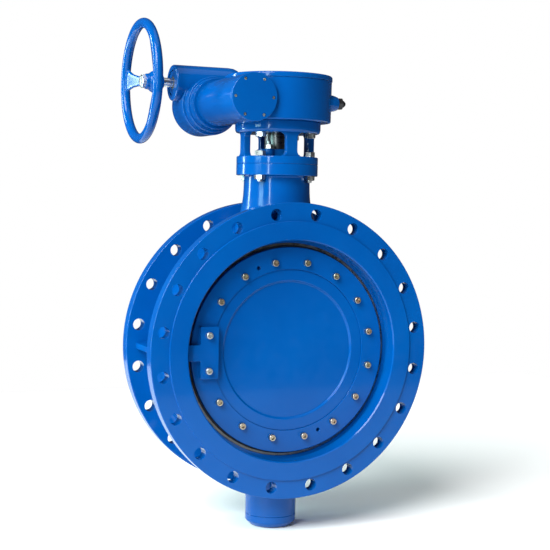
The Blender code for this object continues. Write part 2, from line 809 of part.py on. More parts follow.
# ---- Quarter-turn gearbox ----
def stop_boss(side):
    return rod("stop_boss", stop_boss_radius, drum_radius - 0.025,
               drum_radius + stop_boss_reach, 16, "X", (stem_x, side * stop_side, worm_z),
               stop_boss_radius - 0.002)


def make_gearbox():
    at = (stem_x, 0, 0)
    c = 0.0015
    shell = [(0, drum_base), (drum_radius, drum_base), (drum_radius, drum_top), (0, drum_top)]
    case = place(turned("gearbox_housing", shell, 48, at=at), "gearbox_housing", blue)
    tunnel_at = (worm_x, 0, worm_z)
    join(case, rod("tunnel", tunnel_radius, -tunnel_front, tunnel_back, 36, "Y", tunnel_at))
    for side in (-1, 1):
        join(case, stop_boss(side))
    cut(case, rod("yoke_relief", yoke_head_radius + running_gap, drum_base - 0.03, drum_base, 36,
                  at=at))
    cut(case, rod("cavity", drum_radius - drum_wall, drum_base + drum_floor, drum_top + 0.02, 48,
                  at=at))
    cut(case, rod("tunnel_bore", tunnel_bore, -tunnel_front - 0.01, tunnel_back + 0.01, 28, "Y",
                  tunnel_at))
    cut(case, rod("floor_bore", stem_radius + running_gap, drum_base - 0.01, drum_base + 0.03, 28,
                  at=at))
    for side in (-1, 1):
        cut(case, rod("stop_bore", stop_radius + fit_gap, 0.05, drum_radius + 0.03, 12, "X",
                      (stem_x, side * stop_side, worm_z)))
    # the lid meets the tunnel's crown, which is cut level for it
    low = drum_top + fit_gap
    edge = 0.004
    lid = [(0, low), (drum_radius, low), (drum_radius, low + lid_thickness - edge),
           (drum_radius - edge, low + lid_thickness), (0, low + lid_thickness)]
    cover = place(turned("gearbox_cover", lid, 48, at=at), "gearbox_cover", blue)
    cut(cover, rod("indicator_bore", stem_radius - 0.006, low - 0.01, low + 0.03, 24, at=at))
    cut(cover, rod("tunnel_relief", tunnel_radius + fit_gap, -tunnel_front - 0.01,
                   tunnel_back + 0.01, 36, "Y", tunnel_at))
    place_indicator(low)
    plate = [(0, -tunnel_front - fit_gap), (tunnel_radius, -tunnel_front - fit_gap),
             (tunnel_radius, -tunnel_front - end_cover_thickness + c),
             (tunnel_radius - c, -tunnel_front - end_cover_thickness),
             (0, -tunnel_front - end_cover_thickness)]
    place(turned("worm_end_cover", plate, 36, "Y", tunnel_at), "worm_end_cover", blue)


def place_indicator(low):
    radius = stem_radius - 0.0065
    base = stem_top + fit_gap
    top = low + lid_thickness
    thing = place(rod("position_indicator", radius, base, top - 0.002, 24, at=(stem_x, 0, 0)),
                  "position_indicator", steel)
    join(thing, block("pointer", (-0.004, -radius + 0.002, top - 0.005),
                      (0.004, radius - 0.002, top + 0.002), 0, (stem_x, 0, 0)))


def make_wheel():
    slope = wheel_module / (2 * worm_pitch_radius)
    # the worm is on the -X side, so the gap that faces it is turned there
    mesh = worm_wheel("main_worm_wheel", wheel_pitch_radius, wheel_teeth, slope, wheel_width,
                      wheel_hub_radius, [angle - 180 for angle in sector_degrees])
    mesh.transform(Matrix.Translation((stem_x, 0, worm_z)) @ Matrix.Rotation(math.pi, 4, "Z"))
    wheel = place(mesh, "main_worm_wheel", bronze)
    at = (stem_x, 0, 0)
    join(wheel, rod("hub", wheel_hub_radius - 0.0005, drum_base + drum_floor + running_gap,
                    worm_z + 0.030, 32, at=at))
    cut(wheel, rod("bore", stem_radius + fit_gap, drum_base - 0.01, drum_top, 28, at=at))
    half = key_width / 2 + fit_gap
    cut(wheel, block("keyway", (0.02, -half, drum_base),
                     (stem_radius + key_height / 2 + 2 * fit_gap, half, drum_top), 0, at))


def make_main_worm():
    end = first_y + first_width / 2 + 0.016
    j = worm_journal_radius
    builder = worm(worm_pitch_radius, wheel_module, 1, 1.5, j, (-tunnel_front + 0.004, end))
    mesh = finish_mesh(builder, "main_worm", "Y", (worm_x, 0, worm_z))
    place(mesh, "main_worm", dark_steel)
    at = (worm_x, 0, worm_z)
    for name, low in (("front_worm_bearing", -tunnel_front + 0.004),
                      ("rear_worm_bearing", tunnel_back - 0.004 - bearing_width)):
        place(tube(name, j + fit_gap, tunnel_bore - fit_gap, low, low + bearing_width, 24, "Y",
                   at), name, steel)


def make_stops():
    """Screws that meet the wheel sector's two flanks at closed and open."""
    tip = stop_side + stop_radius
    reach = tip / math.tan(math.radians(sector_degrees[0])) + 0.0009
    for name, side in (("closed_stop_screw", 1), ("open_stop_screw", -1)):
        at = (stem_x, side * stop_side, worm_z)
        nut_low = drum_radius + stop_boss_reach + fit_gap
        place(rod(name, stop_radius, reach, nut_low + stop_nut_height + 0.008, 12, "X", at),
              name, dark_steel)
        nut_name = name.replace("screw", "nut")
        nut = place(rod(nut_name, hex_radius(3 * stop_radius), nut_low,
                        nut_low + stop_nut_height, 6, "X", at), nut_name, dark_steel)
        cut(nut, rod("thread", stop_radius + fit_gap, nut_low - 0.01, nut_low + 0.02, 12, "X", at))


# ---- First stage and handwheel ----
def make_first_stage():
    at = (worm_x, 0, worm_z)
    front = tunnel_back + fit_gap
    profile = [(0, front)]
    y = front
    for radius, length in first_steps:
        profile += [(radius, y), (radius, y + length)]
        y += length
    profile += [(first_case_radius, y), (first_case_radius, first_case_back), (0, first_case_back)]
    case = place(turned("first_stage_housing", profile, 40, "Y", at), "first_stage_housing", blue)
    left = -input_tube_left
    right = input_tube_right
    r = input_tube_radius
    c = 0.005
    body = [(0, left), (r - c, left), (r, left + c), (r, right - 0.024),
            (r * 0.88, right - 0.008), (r * 0.5, right), (0, right)]
    tube_at = (worm_x, first_y, input_z)
    join(case, turned("input_tube", body, 32, "X", tube_at))
    cut(case, rod("wheel_chamber", first_chamber_radius, first_y - first_width / 2 - 0.012,
                  first_case_back + 0.01, 32, "Y", at))
    cut(case, rod("shaft_passage", worm_journal_radius + running_gap, front - 0.01, first_y, 24,
                  "Y", at))
    bore = input_tube_radius - input_tube_wall
    cut(case, rod("input_bore", bore, left - 0.01, right - 0.020, 28, "X", tube_at))
    back = first_case_back + fit_gap
    edge = first_case_radius - 0.006
    cover = [(0, back), (edge, back), (edge, back + first_cover_thickness - 0.002),
             (edge - 0.002, back + first_cover_thickness), (0, back + first_cover_thickness)]
    place(turned("first_stage_cover", cover, 40, "Y", at), "first_stage_cover", blue)
    for name, low in (("outer_input_bush", left + 0.003), ("inner_input_bush", right - 0.038)):
        place(tube(name, input_journal_radius + fit_gap, bore - fit_gap, low,
                   low + input_bush_length, 24, "X", tube_at), name, bronze)


def make_first_gears():
    pitch_radius = first_centre - input_pitch_radius
    module = 2 * pitch_radius / first_teeth
    slope = first_starts * module / (2 * input_pitch_radius)
    mesh = worm_wheel("first_stage_wheel", pitch_radius, first_teeth, slope, first_width)
    # local angle -90 degrees points up once the axis is turned to Y
    mesh.transform(Matrix.Rotation(math.radians(-90), 4, "Z"))
    mesh.transform(Matrix.Translation((worm_x, first_y, worm_z)) @ turn_to("Y"))
    wheel = place(mesh, "first_stage_wheel", bronze)
    at = (worm_x, 0, worm_z)
    join(wheel, rod("hub", 0.022, first_y - first_width / 2 - 0.006,
                    first_y + first_width / 2 + 0.006, 24, "Y", at))
    cut(wheel, rod("bore", worm_journal_radius + fit_gap, first_y - 0.05, first_y + 0.05, 20, "Y",
                   at))
    j = input_journal_radius
    reach = handwheel_reach - handwheel_dish + handwheel_hub_length / 2 + 0.012
    builder = worm(input_pitch_radius, module, first_starts, 0.25, input_journal_radius,
                   (-reach, input_tube_right - 0.022))
    place(finish_mesh(builder, "input_worm", "X", (worm_x, first_y, input_z)), "input_worm",
          steel)


def make_handwheel():
    at = (worm_x - handwheel_reach, first_y, input_z)
    hub_at = (at[0] + handwheel_dish, first_y, input_z)
    ring = [(handwheel_radius + handwheel_rim * math.cos(a), handwheel_rim * math.sin(a))
            for a in (2 * math.pi * k / 8 for k in range(8))]
    wheel = place(turned("handwheel", ring, 32, "X", at), "handwheel", blue)
    half = handwheel_hub_length / 2
    join(wheel, rod("hub", handwheel_hub_radius, -half, half, 24, "X", hub_at))
    start = handwheel_hub_radius - 0.008
    run = handwheel_radius - 0.004 - start
    slope = Matrix.Rotation(-math.atan2(handwheel_dish, run), 4, "Y")
    half_spoke = Vector((spoke_half_thickness, spoke_width / 2, 0))
    for i in range(spoke_count):
        spoke = block("spoke", -half_spoke,
                      half_spoke + Vector((0, 0, math.hypot(run, handwheel_dish))))
        turn = Matrix.Rotation(spoke_turn + 2 * math.pi * i / spoke_count, 4, "X")
        foot = Matrix.Translation((handwheel_dish, 0, start))
        spoke.transform(Matrix.Translation(at) @ turn @ foot @ slope)
        join(wheel, spoke)
    cut(wheel, rod("bore", input_journal_radius + fit_gap, -half - 0.01, half + 0.01, 24, "X",
                   hub_at))
    nut_low = -half - fit_gap - handwheel_nut_height
    nut = place(rod("handwheel_nut", hex_radius(0.030), nut_low, -half - fit_gap, 6, "X",
                    hub_at), "handwheel_nut", steel)
    cut(nut, rod("thread", input_journal_radius + fit_gap, nut_low - 0.01, nut_low + 0.02, 24,
                 "X", hub_at))


make_body()
make_seat_ring()
make_seal()
make_retaining_ring()
make_disc()
make_screws()
make_stop_plate()
make_stem()
make_stem_bearings()
make_gland()
make_yoke()
make_gearbox()
make_wheel()
make_main_worm()
make_stops()
make_first_stage()
make_first_gears()
make_handwheel()
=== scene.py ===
import json
import math
import bpy
from mathutils import Matrix, Vector


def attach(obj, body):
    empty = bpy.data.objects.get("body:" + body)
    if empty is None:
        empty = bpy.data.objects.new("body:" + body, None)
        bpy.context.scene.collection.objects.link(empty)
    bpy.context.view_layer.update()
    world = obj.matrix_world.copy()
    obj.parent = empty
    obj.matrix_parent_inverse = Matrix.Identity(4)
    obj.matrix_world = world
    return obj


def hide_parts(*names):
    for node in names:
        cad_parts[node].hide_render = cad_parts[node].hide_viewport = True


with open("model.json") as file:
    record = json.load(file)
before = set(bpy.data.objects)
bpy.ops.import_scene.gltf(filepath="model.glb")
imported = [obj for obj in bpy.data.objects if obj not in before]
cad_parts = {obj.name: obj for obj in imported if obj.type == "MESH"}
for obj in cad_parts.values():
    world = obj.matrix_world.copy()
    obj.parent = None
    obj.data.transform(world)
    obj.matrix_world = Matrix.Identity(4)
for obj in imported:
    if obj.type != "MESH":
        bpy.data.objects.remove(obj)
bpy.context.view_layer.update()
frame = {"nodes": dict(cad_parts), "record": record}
print("frame loaded")

# metres; the origin is on the pipe's axis, midway between its faces
stemX = -0.004
wormX = -0.110
wormZ = 0.5633
inputZ = 0.6143
firstY = 0.200
onStem = (stemX, 0, 0)
onWorm = (wormX, 0, wormZ)
onInput = (wormX, firstY, inputZ)
fitGap = 0.0003
axisVectors = {"X": Vector((1, 0, 0)), "Y": Vector((0, 1, 0)), "Z": Vector((0, 0, 1))}


def freshStart():
    active = bpy.context.view_layer.objects.active
    if active and active.mode != "OBJECT":
        bpy.ops.object.mode_set(mode="OBJECT")
    bpy.ops.object.select_all(action="DESELECT")


def pick(*pieces):
    freshStart()
    for piece in pieces:
        piece.select_set(True)
    bpy.context.view_layer.objects.active = pieces[0]
    return pieces[0]


def drawLine(name, points, closed=False):
    # a plane merged to one point, drawn out point by point
    freshStart()
    bpy.ops.mesh.primitive_plane_add(size=0.001)
    piece = bpy.context.object
    piece.name = name
    bpy.ops.object.mode_set(mode="EDIT")
    bpy.ops.mesh.merge(type="CENTER")
    bpy.ops.transform.translate(value=points[0])
    path = list(points) + ([points[0]] if closed else [])
    for before, after in zip(path, path[1:]):
        step = Vector(after) - Vector(before)
        bpy.ops.mesh.extrude_region_move(TRANSFORM_OT_translate={"value": step})
    bpy.ops.mesh.select_all(action="SELECT")
    return piece


def tidyMesh():
    bpy.ops.mesh.select_all(action="SELECT")
    bpy.ops.mesh.remove_doubles(threshold=0.00001)
    bpy.ops.mesh.normals_make_consistent(inside=False)
    bpy.ops.object.mode_set(mode="OBJECT")


def rounded(profile, steps=4):
    # a third number at a corner is how far back its rounding starts
    line = []
    for i, corner in enumerate(profile):
        here = Vector(corner[:2])
        if len(corner) < 3:
            line.append(here)
            continue
        ends = []
        for other in (profile[i - 1], profile[(i + 1) % len(profile)]):
            run = Vector(other[:2]) - here
            ends.append(here + run.normalized() * min(corner[2], run.length * 0.48))
        for k in range(steps + 1):
            s = k / steps
            line.append(ends[0] * (1 - s) ** 2 + here * 2 * s * (1 - s) + ends[1] * s ** 2)
    return line


def turnTo(axis, centre, point):
    r, h = point
    spots = {"X": (h, r, 0), "Y": (r, h, 0), "Z": (r, 0, h)}
    return Vector(centre) + Vector(spots[axis])


def spun(name, profile, axis="Z", centre=(0, 0, 0), sides=96, ring=False):
    points = [turnTo(axis, centre, p) for p in rounded(profile)]
    piece = drawLine(name, points, ring)
    bpy.ops.mesh.spin(steps=sides, angle=2 * math.pi, center=centre, axis=axisVectors[axis])
    tidyMesh()
    return piece


def finishWith(piece, kind, **values):
    pick(piece)
    bpy.ops.object.modifier_add(type=kind)
    modifier = piece.modifiers[-1]
    for key, value in values.items():
        setattr(modifier, key, value)
    bpy.ops.object.modifier_apply(modifier=modifier.name)
    return piece


def soften(piece, width, steps=3, angle=30):
    return finishWith(piece, "BEVEL", width=width, segments=steps, limit_method="ANGLE",
                      angle_limit=math.radians(angle))


def slab(name, outline, push, edge=0.0, steps=2):
    piece = drawLine(name, outline)
    bpy.ops.mesh.edge_face_add()
    bpy.ops.mesh.extrude_region_move(TRANSFORM_OT_translate={"value": push})
    tidyMesh()
    return soften(piece, edge, steps) if edge else piece


def combine(piece, tool, operation="DIFFERENCE"):
    finishWith(piece, "BOOLEAN", operation=operation, solver="EXACT", object=tool)
    bpy.data.objects.remove(tool)
    return piece


def joined(pieces):
    pick(*pieces)
    if len(pieces) > 1:
        bpy.ops.object.join()
    return bpy.context.object


def moved(piece, *moves):
    for move in moves:
        piece.data.transform(move)
    return piece


def copyOf(piece, name, *moves):
    copy = piece.copy()
    copy.data = piece.data.copy()
    copy.name = name
    bpy.context.scene.collection.objects.link(copy)
    return moved(copy, *moves)


def copiesAround(piece, angles, axis, centre=(0, 0, 0)):
    copies = []
    back = Matrix.Translation(centre)
    for i, angle in enumerate(angles):
        turn = back @ Matrix.Rotation(angle, 4, axis) @ back.inverted()
        copies.append(copyOf(piece, f"{piece.name}{i + 1:02d}", turn))
    bpy.data.objects.remove(piece)
    return copies


def even(count, first=0.0):
    return [first + 2 * math.pi * i / count for i in range(count)]


def plug(name, radius, low, high, axis, centre, sides=32, flare=0.0):
    # a drill with an optional countersink at its low end
    profile = [(0, low), (radius + flare, low), (radius, low + flare), (radius, high), (0, high)]
    if not flare:
        profile = [(0, low), (radius, low), (radius, high), (0, high)]
    return spun(name, profile, axis, centre, sides)


def fit(piece, material, body, slot, *stands):
    pick(piece)
    bpy.ops.object.shade_smooth_by_angle(angle=math.radians(32))
    finishWith(piece, "WEIGHTED_NORMAL", keep_sharp=True)
    piece.data.materials.clear()
    piece.data.materials.append(material)
    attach(piece, body)
    if stands:
        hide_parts(*stands)
    return piece


def newGroup(name, inputs, outputs):
    group = bpy.data.node_groups.new(name, "ShaderNodeTree")
    for label, kind, value in inputs:
        socket = group.interface.new_socket(name=label, in_out="INPUT", socket_type=kind)
        if value is not None:
            socket.default_value = value
    for label, kind in outputs:
        group.interface.new_socket(name=label, in_out="OUTPUT", socket_type=kind)
    return group, group.nodes.new("NodeGroupInput"), group.nodes.new("NodeGroupOutput")


def addNode(tree, kind, **values):
    node = tree.nodes.new(kind)
    for key, value in values.items():
        if key in node.inputs:
            node.inputs[key].default_value = value
        else:
            setattr(node, key, value)
    return node


def noise(tree, vector, scale, detail=3.0, roughness=0.5):
    node = addNode(tree, "ShaderNodeTexNoise", Detail=detail, Roughness=roughness)
    tree.links.new(vector, node.inputs["Vector"])
    if hasattr(scale, "is_linked"):
        tree.links.new(scale, node.inputs["Scale"])
    else:
        node.inputs["Scale"].default_value = scale
    return node.outputs["Fac"]


def span(tree, value, low, high, toLow=0.0, toHigh=1.0):
    node = addNode(tree, "ShaderNodeMapRange")
    tree.links.new(value, node.inputs["Value"])
    for label, number in (("From Min", low), ("From Max", high), ("To Min", toLow),
                          ("To Max", toHigh)):
        node.inputs[label].default_value = number
    return node.outputs["Result"]


def maths(tree, operation, a, b=None):
    node = addNode(tree, "ShaderNodeMath", operation=operation)
    for i, value in enumerate((a, b)):
        if value is None:
            continue
        if hasattr(value, "is_linked"):
            tree.links.new(value, node.inputs[i])
        else:
            node.inputs[i].default_value = value
    return node.outputs[0]


def makePaintSkin():
    # sprayed epoxy: soft waves in the film, and patches a shade apart
    group, start, end = newGroup("paintSkin",
                                 [("Vector", "NodeSocketVector", None),
                                  ("Wave Scale", "NodeSocketFloat", 90.0),
                                  ("Cast Scale", "NodeSocketFloat", 420.0),
                                  ("Cast Share", "NodeSocketFloat", 0.2)],
                                 [("Patch", "NodeSocketFloat"), ("Rough", "NodeSocketFloat"),
                                  ("Height", "NodeSocketFloat"), ("Worn", "NodeSocketFloat")])
    link = group.links.new
    where = start.outputs["Vector"]
    link(span(group, noise(group, where, 5.0, 4.0), 0.3, 0.7), end.inputs["Patch"])
    fine = noise(group, where, 38.0, 5.0)
    link(span(group, fine, 0.35, 0.75, 0.10, 0.24), end.inputs["Rough"])
    wave = noise(group, where, start.outputs["Wave Scale"], 2.0)
    grain = maths(group, "MULTIPLY", noise(group, where, start.outputs["Cast Scale"], 4.0),
                  start.outputs["Cast Share"])
    link(maths(group, "ADD", wave, grain), end.inputs["Height"])
    scuff = span(group, noise(group, where, 150.0, 6.0, 0.65), 0.66, 0.78)
    link(maths(group, "MULTIPLY", scuff, fine), end.inputs["Worn"])
    return group


def makeToolMarks():
    # fine turned rings about one axis, broken up by faint scuffs
    group, start, end = newGroup("toolMarks",
                                 [("Vector", "NodeSocketVector", None),
                                  ("Pitch", "NodeSocketFloat", 1400.0),
                                  ("Mottle", "NodeSocketFloat", 60.0)],
                                 [("Tone", "NodeSocketFloat"), ("Rough", "NodeSocketFloat"),
                                  ("Height", "NodeSocketFloat")])
    link = group.links.new
    where = start.outputs["Vector"]
    stretch = addNode(group, "ShaderNodeMapping")
    stretch.inputs["Scale"].default_value = (0.05, 0.05, 1.0)
    link(where, stretch.inputs["Vector"])
    lines = noise(group, stretch.outputs["Vector"], start.outputs["Pitch"], 3.0)
    spots = noise(group, where, start.outputs["Mottle"], 5.0)
    link(span(group, spots, 0.3, 0.72), end.inputs["Tone"])
    link(span(group, maths(group, "ADD", lines, spots), 0.6, 1.4, 0.2, 0.42),
         end.inputs["Rough"])
    link(lines, end.inputs["Height"])
    return group


paintSkin = makePaintSkin()
toolMarks = makeToolMarks()


def startMaterial(name, **fixed):
    material = bpy.data.materials.new(name)
    material.use_nodes = True
    tree = material.node_tree
    shader = tree.nodes["Principled BSDF"]
    for label, value in fixed.items():
        shader.inputs[label.replace("_", " ")].default_value = value
    where = tree.nodes.new("ShaderNodeTexCoord").outputs["Object"]
    return material, tree, shader, where


def mixColours(tree, share, first, second):
    node = addNode(tree, "ShaderNodeMix", data_type="RGBA")
    for socket, value in ((node.inputs[0], share), (node.inputs[6], first),
                          (node.inputs[7], second)):
        if hasattr(value, "is_linked"):
            tree.links.new(value, socket)
        else:
            socket.default_value = (*value, 1) if isinstance(value, tuple) else value
    return node.outputs[2]


def bump(tree, shader, height, strength, distance):
    node = addNode(tree, "ShaderNodeBump", Strength=strength, Distance=distance)
    tree.links.new(height, node.inputs["Height"])
    tree.links.new(node.outputs["Normal"], shader.inputs["Normal"])


def placeGroup(tree, group, where, **values):
    node = addNode(tree, "ShaderNodeGroup", node_tree=group)
    tree.links.new(where, node.inputs["Vector"])
    for label, value in values.items():
        node.inputs[label.replace("_", " ")].default_value = value
    return node.outputs


def epoxy(name, light, deep, waveScale, castShare, strength, coat=0.16):
    fixed = {"Specular_IOR_Level": 0.16, "Coat_Roughness": 0.05, "Coat_Weight": coat}
    material, tree, shader, where = startMaterial(name, **fixed)
    skin = placeGroup(tree, paintSkin, where, Wave_Scale=waveScale, Cast_Share=castShare)
    base = mixColours(tree, skin["Patch"], deep, light)
    base = mixColours(tree, skin["Worn"], base, tuple(min(1, c * 1.35 + 0.01) for c in light))
    tree.links.new(base, shader.inputs["Base Color"])
    tree.links.new(skin["Rough"], shader.inputs["Roughness"])
    bump(tree, shader, skin["Height"], strength, 0.001)
    return material


def turnedMetal(name, light, dark, pitch, metallic=1.0, strength=0.12):
    material, tree, shader, where = startMaterial(name, Metallic=metallic)
    marks = placeGroup(tree, toolMarks, where, Pitch=pitch)
    tree.links.new(mixColours(tree, marks["Tone"], dark, light), shader.inputs["Base Color"])
    tree.links.new(marks["Rough"], shader.inputs["Roughness"])
    bump(tree, shader, marks["Height"], strength, 0.0004)
    return material


def yellowPlate(name, first, second, third):
    # passivated zinc drifts in colour from screw to screw
    material, tree, shader, where = startMaterial(name, Metallic=1.0)
    marks = placeGroup(tree, toolMarks, where, Pitch=900.0, Mottle=140.0)
    drift = span(tree, noise(tree, where, 9.0, 1.0), 0.4, 0.6)
    base = mixColours(tree, drift, first, second)
    base = mixColours(tree, marks["Tone"], base, third)
    tree.links.new(base, shader.inputs["Base Color"])
    tree.links.new(marks["Rough"], shader.inputs["Roughness"])
    bump(tree, shader, marks["Height"], 0.15, 0.0004)
    return material


def mouldedRubber(name):
    material, tree, shader, where = startMaterial(name, Sheen_Weight=0.1)
    bloom = span(tree, noise(tree, where, 30.0, 5.0), 0.35, 0.75)
    tree.links.new(mixColours(tree, bloom, (0.010, 0.010, 0.011), (0.030, 0.030, 0.031)),
                   shader.inputs["Base Color"])
    tree.links.new(span(tree, bloom, 0.0, 1.0, 0.5, 0.75), shader.inputs["Roughness"])
    bump(tree, shader, noise(tree, where, 700.0, 3.0), 0.2, 0.0005)
    return material


def braid(name):
    material, tree, shader, where = startMaterial(name, Metallic=0.3)
    weave = addNode(tree, "ShaderNodeTexWave", Scale=260.0, Distortion=1.5, Detail=1.0)
    weave.bands_direction = "DIAGONAL"
    tree.links.new(where, weave.inputs["Vector"])
    tree.links.new(mixColours(tree, weave.outputs["Fac"], (0.02, 0.02, 0.022),
                              (0.07, 0.07, 0.075)), shader.inputs["Base Color"])
    tree.links.new(span(tree, weave.outputs["Fac"], 0, 1, 0.55, 0.8),
                   shader.inputs["Roughness"])
    bump(tree, shader, weave.outputs["Fac"], 0.6, 0.0008)
    return material


paintColours = {"light": (0.0, 0.078, 0.320), "deep": (0.0, 0.062, 0.272)}
light, deep = paintColours["light"], paintColours["deep"]
epoxySmooth = epoxy("epoxySmooth", light, deep, 45.0, 0.05, 0.05)
epoxyCast = epoxy("epoxyCast", light, deep, 70.0, 0.35, 0.16)
stainless = turnedMetal("stainless", (0.78, 0.77, 0.765), (0.62, 0.61, 0.605), 1600.0)
# painted shade: stainless parts sitting in shade get a dark grey steel colour instead of their
# own bright stainless colour
paintedShadeSteel = turnedMetal("paintedShadeSteel", (0.20, 0.20, 0.205), (0.10, 0.10, 0.105), 900.0)
blackOxide = turnedMetal("blackOxide", (0.045, 0.045, 0.05), (0.02, 0.02, 0.022), 1200.0, 0.7)
bronze = turnedMetal("bronze", (0.62, 0.40, 0.17), (0.42, 0.26, 0.10), 1500.0)
zincYellow = yellowPlate("zincYellow", (0.62, 0.53, 0.38), (0.64, 0.42, 0.34),
                         (0.50, 0.49, 0.42))
rubber = mouldedRubber("rubber")
graphiteBraid = braid("graphiteBraid")
slotLooks = {"blue_epoxy": epoxyCast, "stainless_steel": stainless, "dark_steel": blackOxide,
             "yellow_zinc": zincYellow, "bronze": bronze, "seal_rubber": rubber,
             "graphite_packing": graphiteBraid}
for part in frame["record"]["subparts"]:
    thing = frame["nodes"][part["node"]]
    thing.data.materials.clear()
    thing.data.materials.append(slotLooks[part["material_slot"]])
print("materials ready")


# each fastener is modelled at the origin, standing up Z
def hexShape(name, flats, height, crown=True):
    freshStart()
    bpy.ops.mesh.primitive_cylinder_add(vertices=6, radius=flats / math.sqrt(3), depth=height,
                                        location=(0, 0, height / 2))
    piece = bpy.context.object
    piece.name = name
    bpy.ops.object.transform_apply()
    if crown:
        half = flats / 2
        cone = [(0, -0.001), (half * 1.3, -0.001), (half * 1.3, height * 0.78),
                (half * 0.93, height), (0, height)]
        combine(piece, spun("crown", cone, sides=64), "INTERSECT")
    return piece


def threadLine(radius, low, high, pitch=0.0018):
    line = [(radius, low)]
    count = int((high - low) / pitch)
    for i in range(count):
        h = low + i * pitch
        line += [(radius, h + pitch * 0.15), (radius * 0.86, h + pitch * 0.5),
                 (radius, h + pitch * 0.85)]
    return line + [(radius * 0.98, high - 0.0006), (radius * 0.84, high)]


def hexBolt(name, flats, height, shank, low):
    bolt = hexShape(name, flats, height)
    combine(bolt, spun("washerFace", [(0, -0.0006), (flats * 0.46, -0.0006),
                                      (flats * 0.46, 0.0004), (0, 0.0004)], sides=48), "UNION")
    stem = [(0, low)] + [(shank, low), (shank, 0.001), (0, 0.001)]
    return combine(bolt, spun("shank", stem, sides=24), "UNION")


def hexNut(name, flats, height, bore):
    nut = hexShape(name, flats, height)
    hole = [(0, -0.002), (bore * 1.15, -0.002), (bore * 1.15, 0.0), (bore, 0.001),
            (bore, height - 0.001), (bore * 1.15, height), (bore * 1.15, height + 0.002),
            (0, height + 0.002)]
    return combine(nut, spun("hole", hole, sides=32))


def socketScrew(name, radius, height, shank, length, knurls=30):
    profile = [(0, height), (radius * 0.90, height, 0.0006), (radius, height * 0.9, 0.0005),
               (radius, 0.0004, 0.0003), (shank, 0), (shank, -length + 0.001),
               (shank * 0.8, -length), (0, -length)]
    screw = spun(name, profile, sides=knurls * 2)
    for vertex in screw.data.vertices:
        r = math.hypot(vertex.co.x, vertex.co.y)
        step = round(math.atan2(vertex.co.y, vertex.co.x) / (math.pi / knurls))
        if r > radius * 0.97 and step % 2:
            vertex.co.x *= 0.965
            vertex.co.y *= 0.965
    socket = hexShape("socket", radius * 1.12, height, crown=False)
    moved(socket, Matrix.Translation((0, 0, height * 0.42)))
    return combine(screw, socket)


towardFront = Matrix.Rotation(math.radians(90), 4, "X")    # the front is -Y
towardBack = Matrix.Rotation(math.radians(-90), 4, "X")
towardRight = Matrix.Rotation(math.radians(90), 4, "Y")
towardLeft = Matrix.Rotation(math.radians(-90), 4, "Y")
upsideDown = Matrix.Rotation(math.pi, 4, "X")


def shift(x, y, z):
    return Matrix.Translation((x, y, z))


body = {"face": 0.1145, "raised": 0.1105, "inner": 0.0795, "rim": 0.335, "raisedRadius": 0.2925,
        "barrel": 0.274, "port": 0.250, "boltCircle": 0.310, "boltHole": 0.0135, "holes": 20,
        "shoulder": 0.0715, "neckTop": 0.421, "neckFlange": 0.094, "neckFlangeLow": 0.395,
        "neckBolts": 0.0835, "neckBoltTurn": math.radians(40), "spotFace": 0.0132,
        "bossRadius": 0.0592, "bossEnd": -0.390, "stemBore": 0.0374, "packingBore": 0.0466,
        "ribReach": 0.313, "seatOuter": 0.2430}


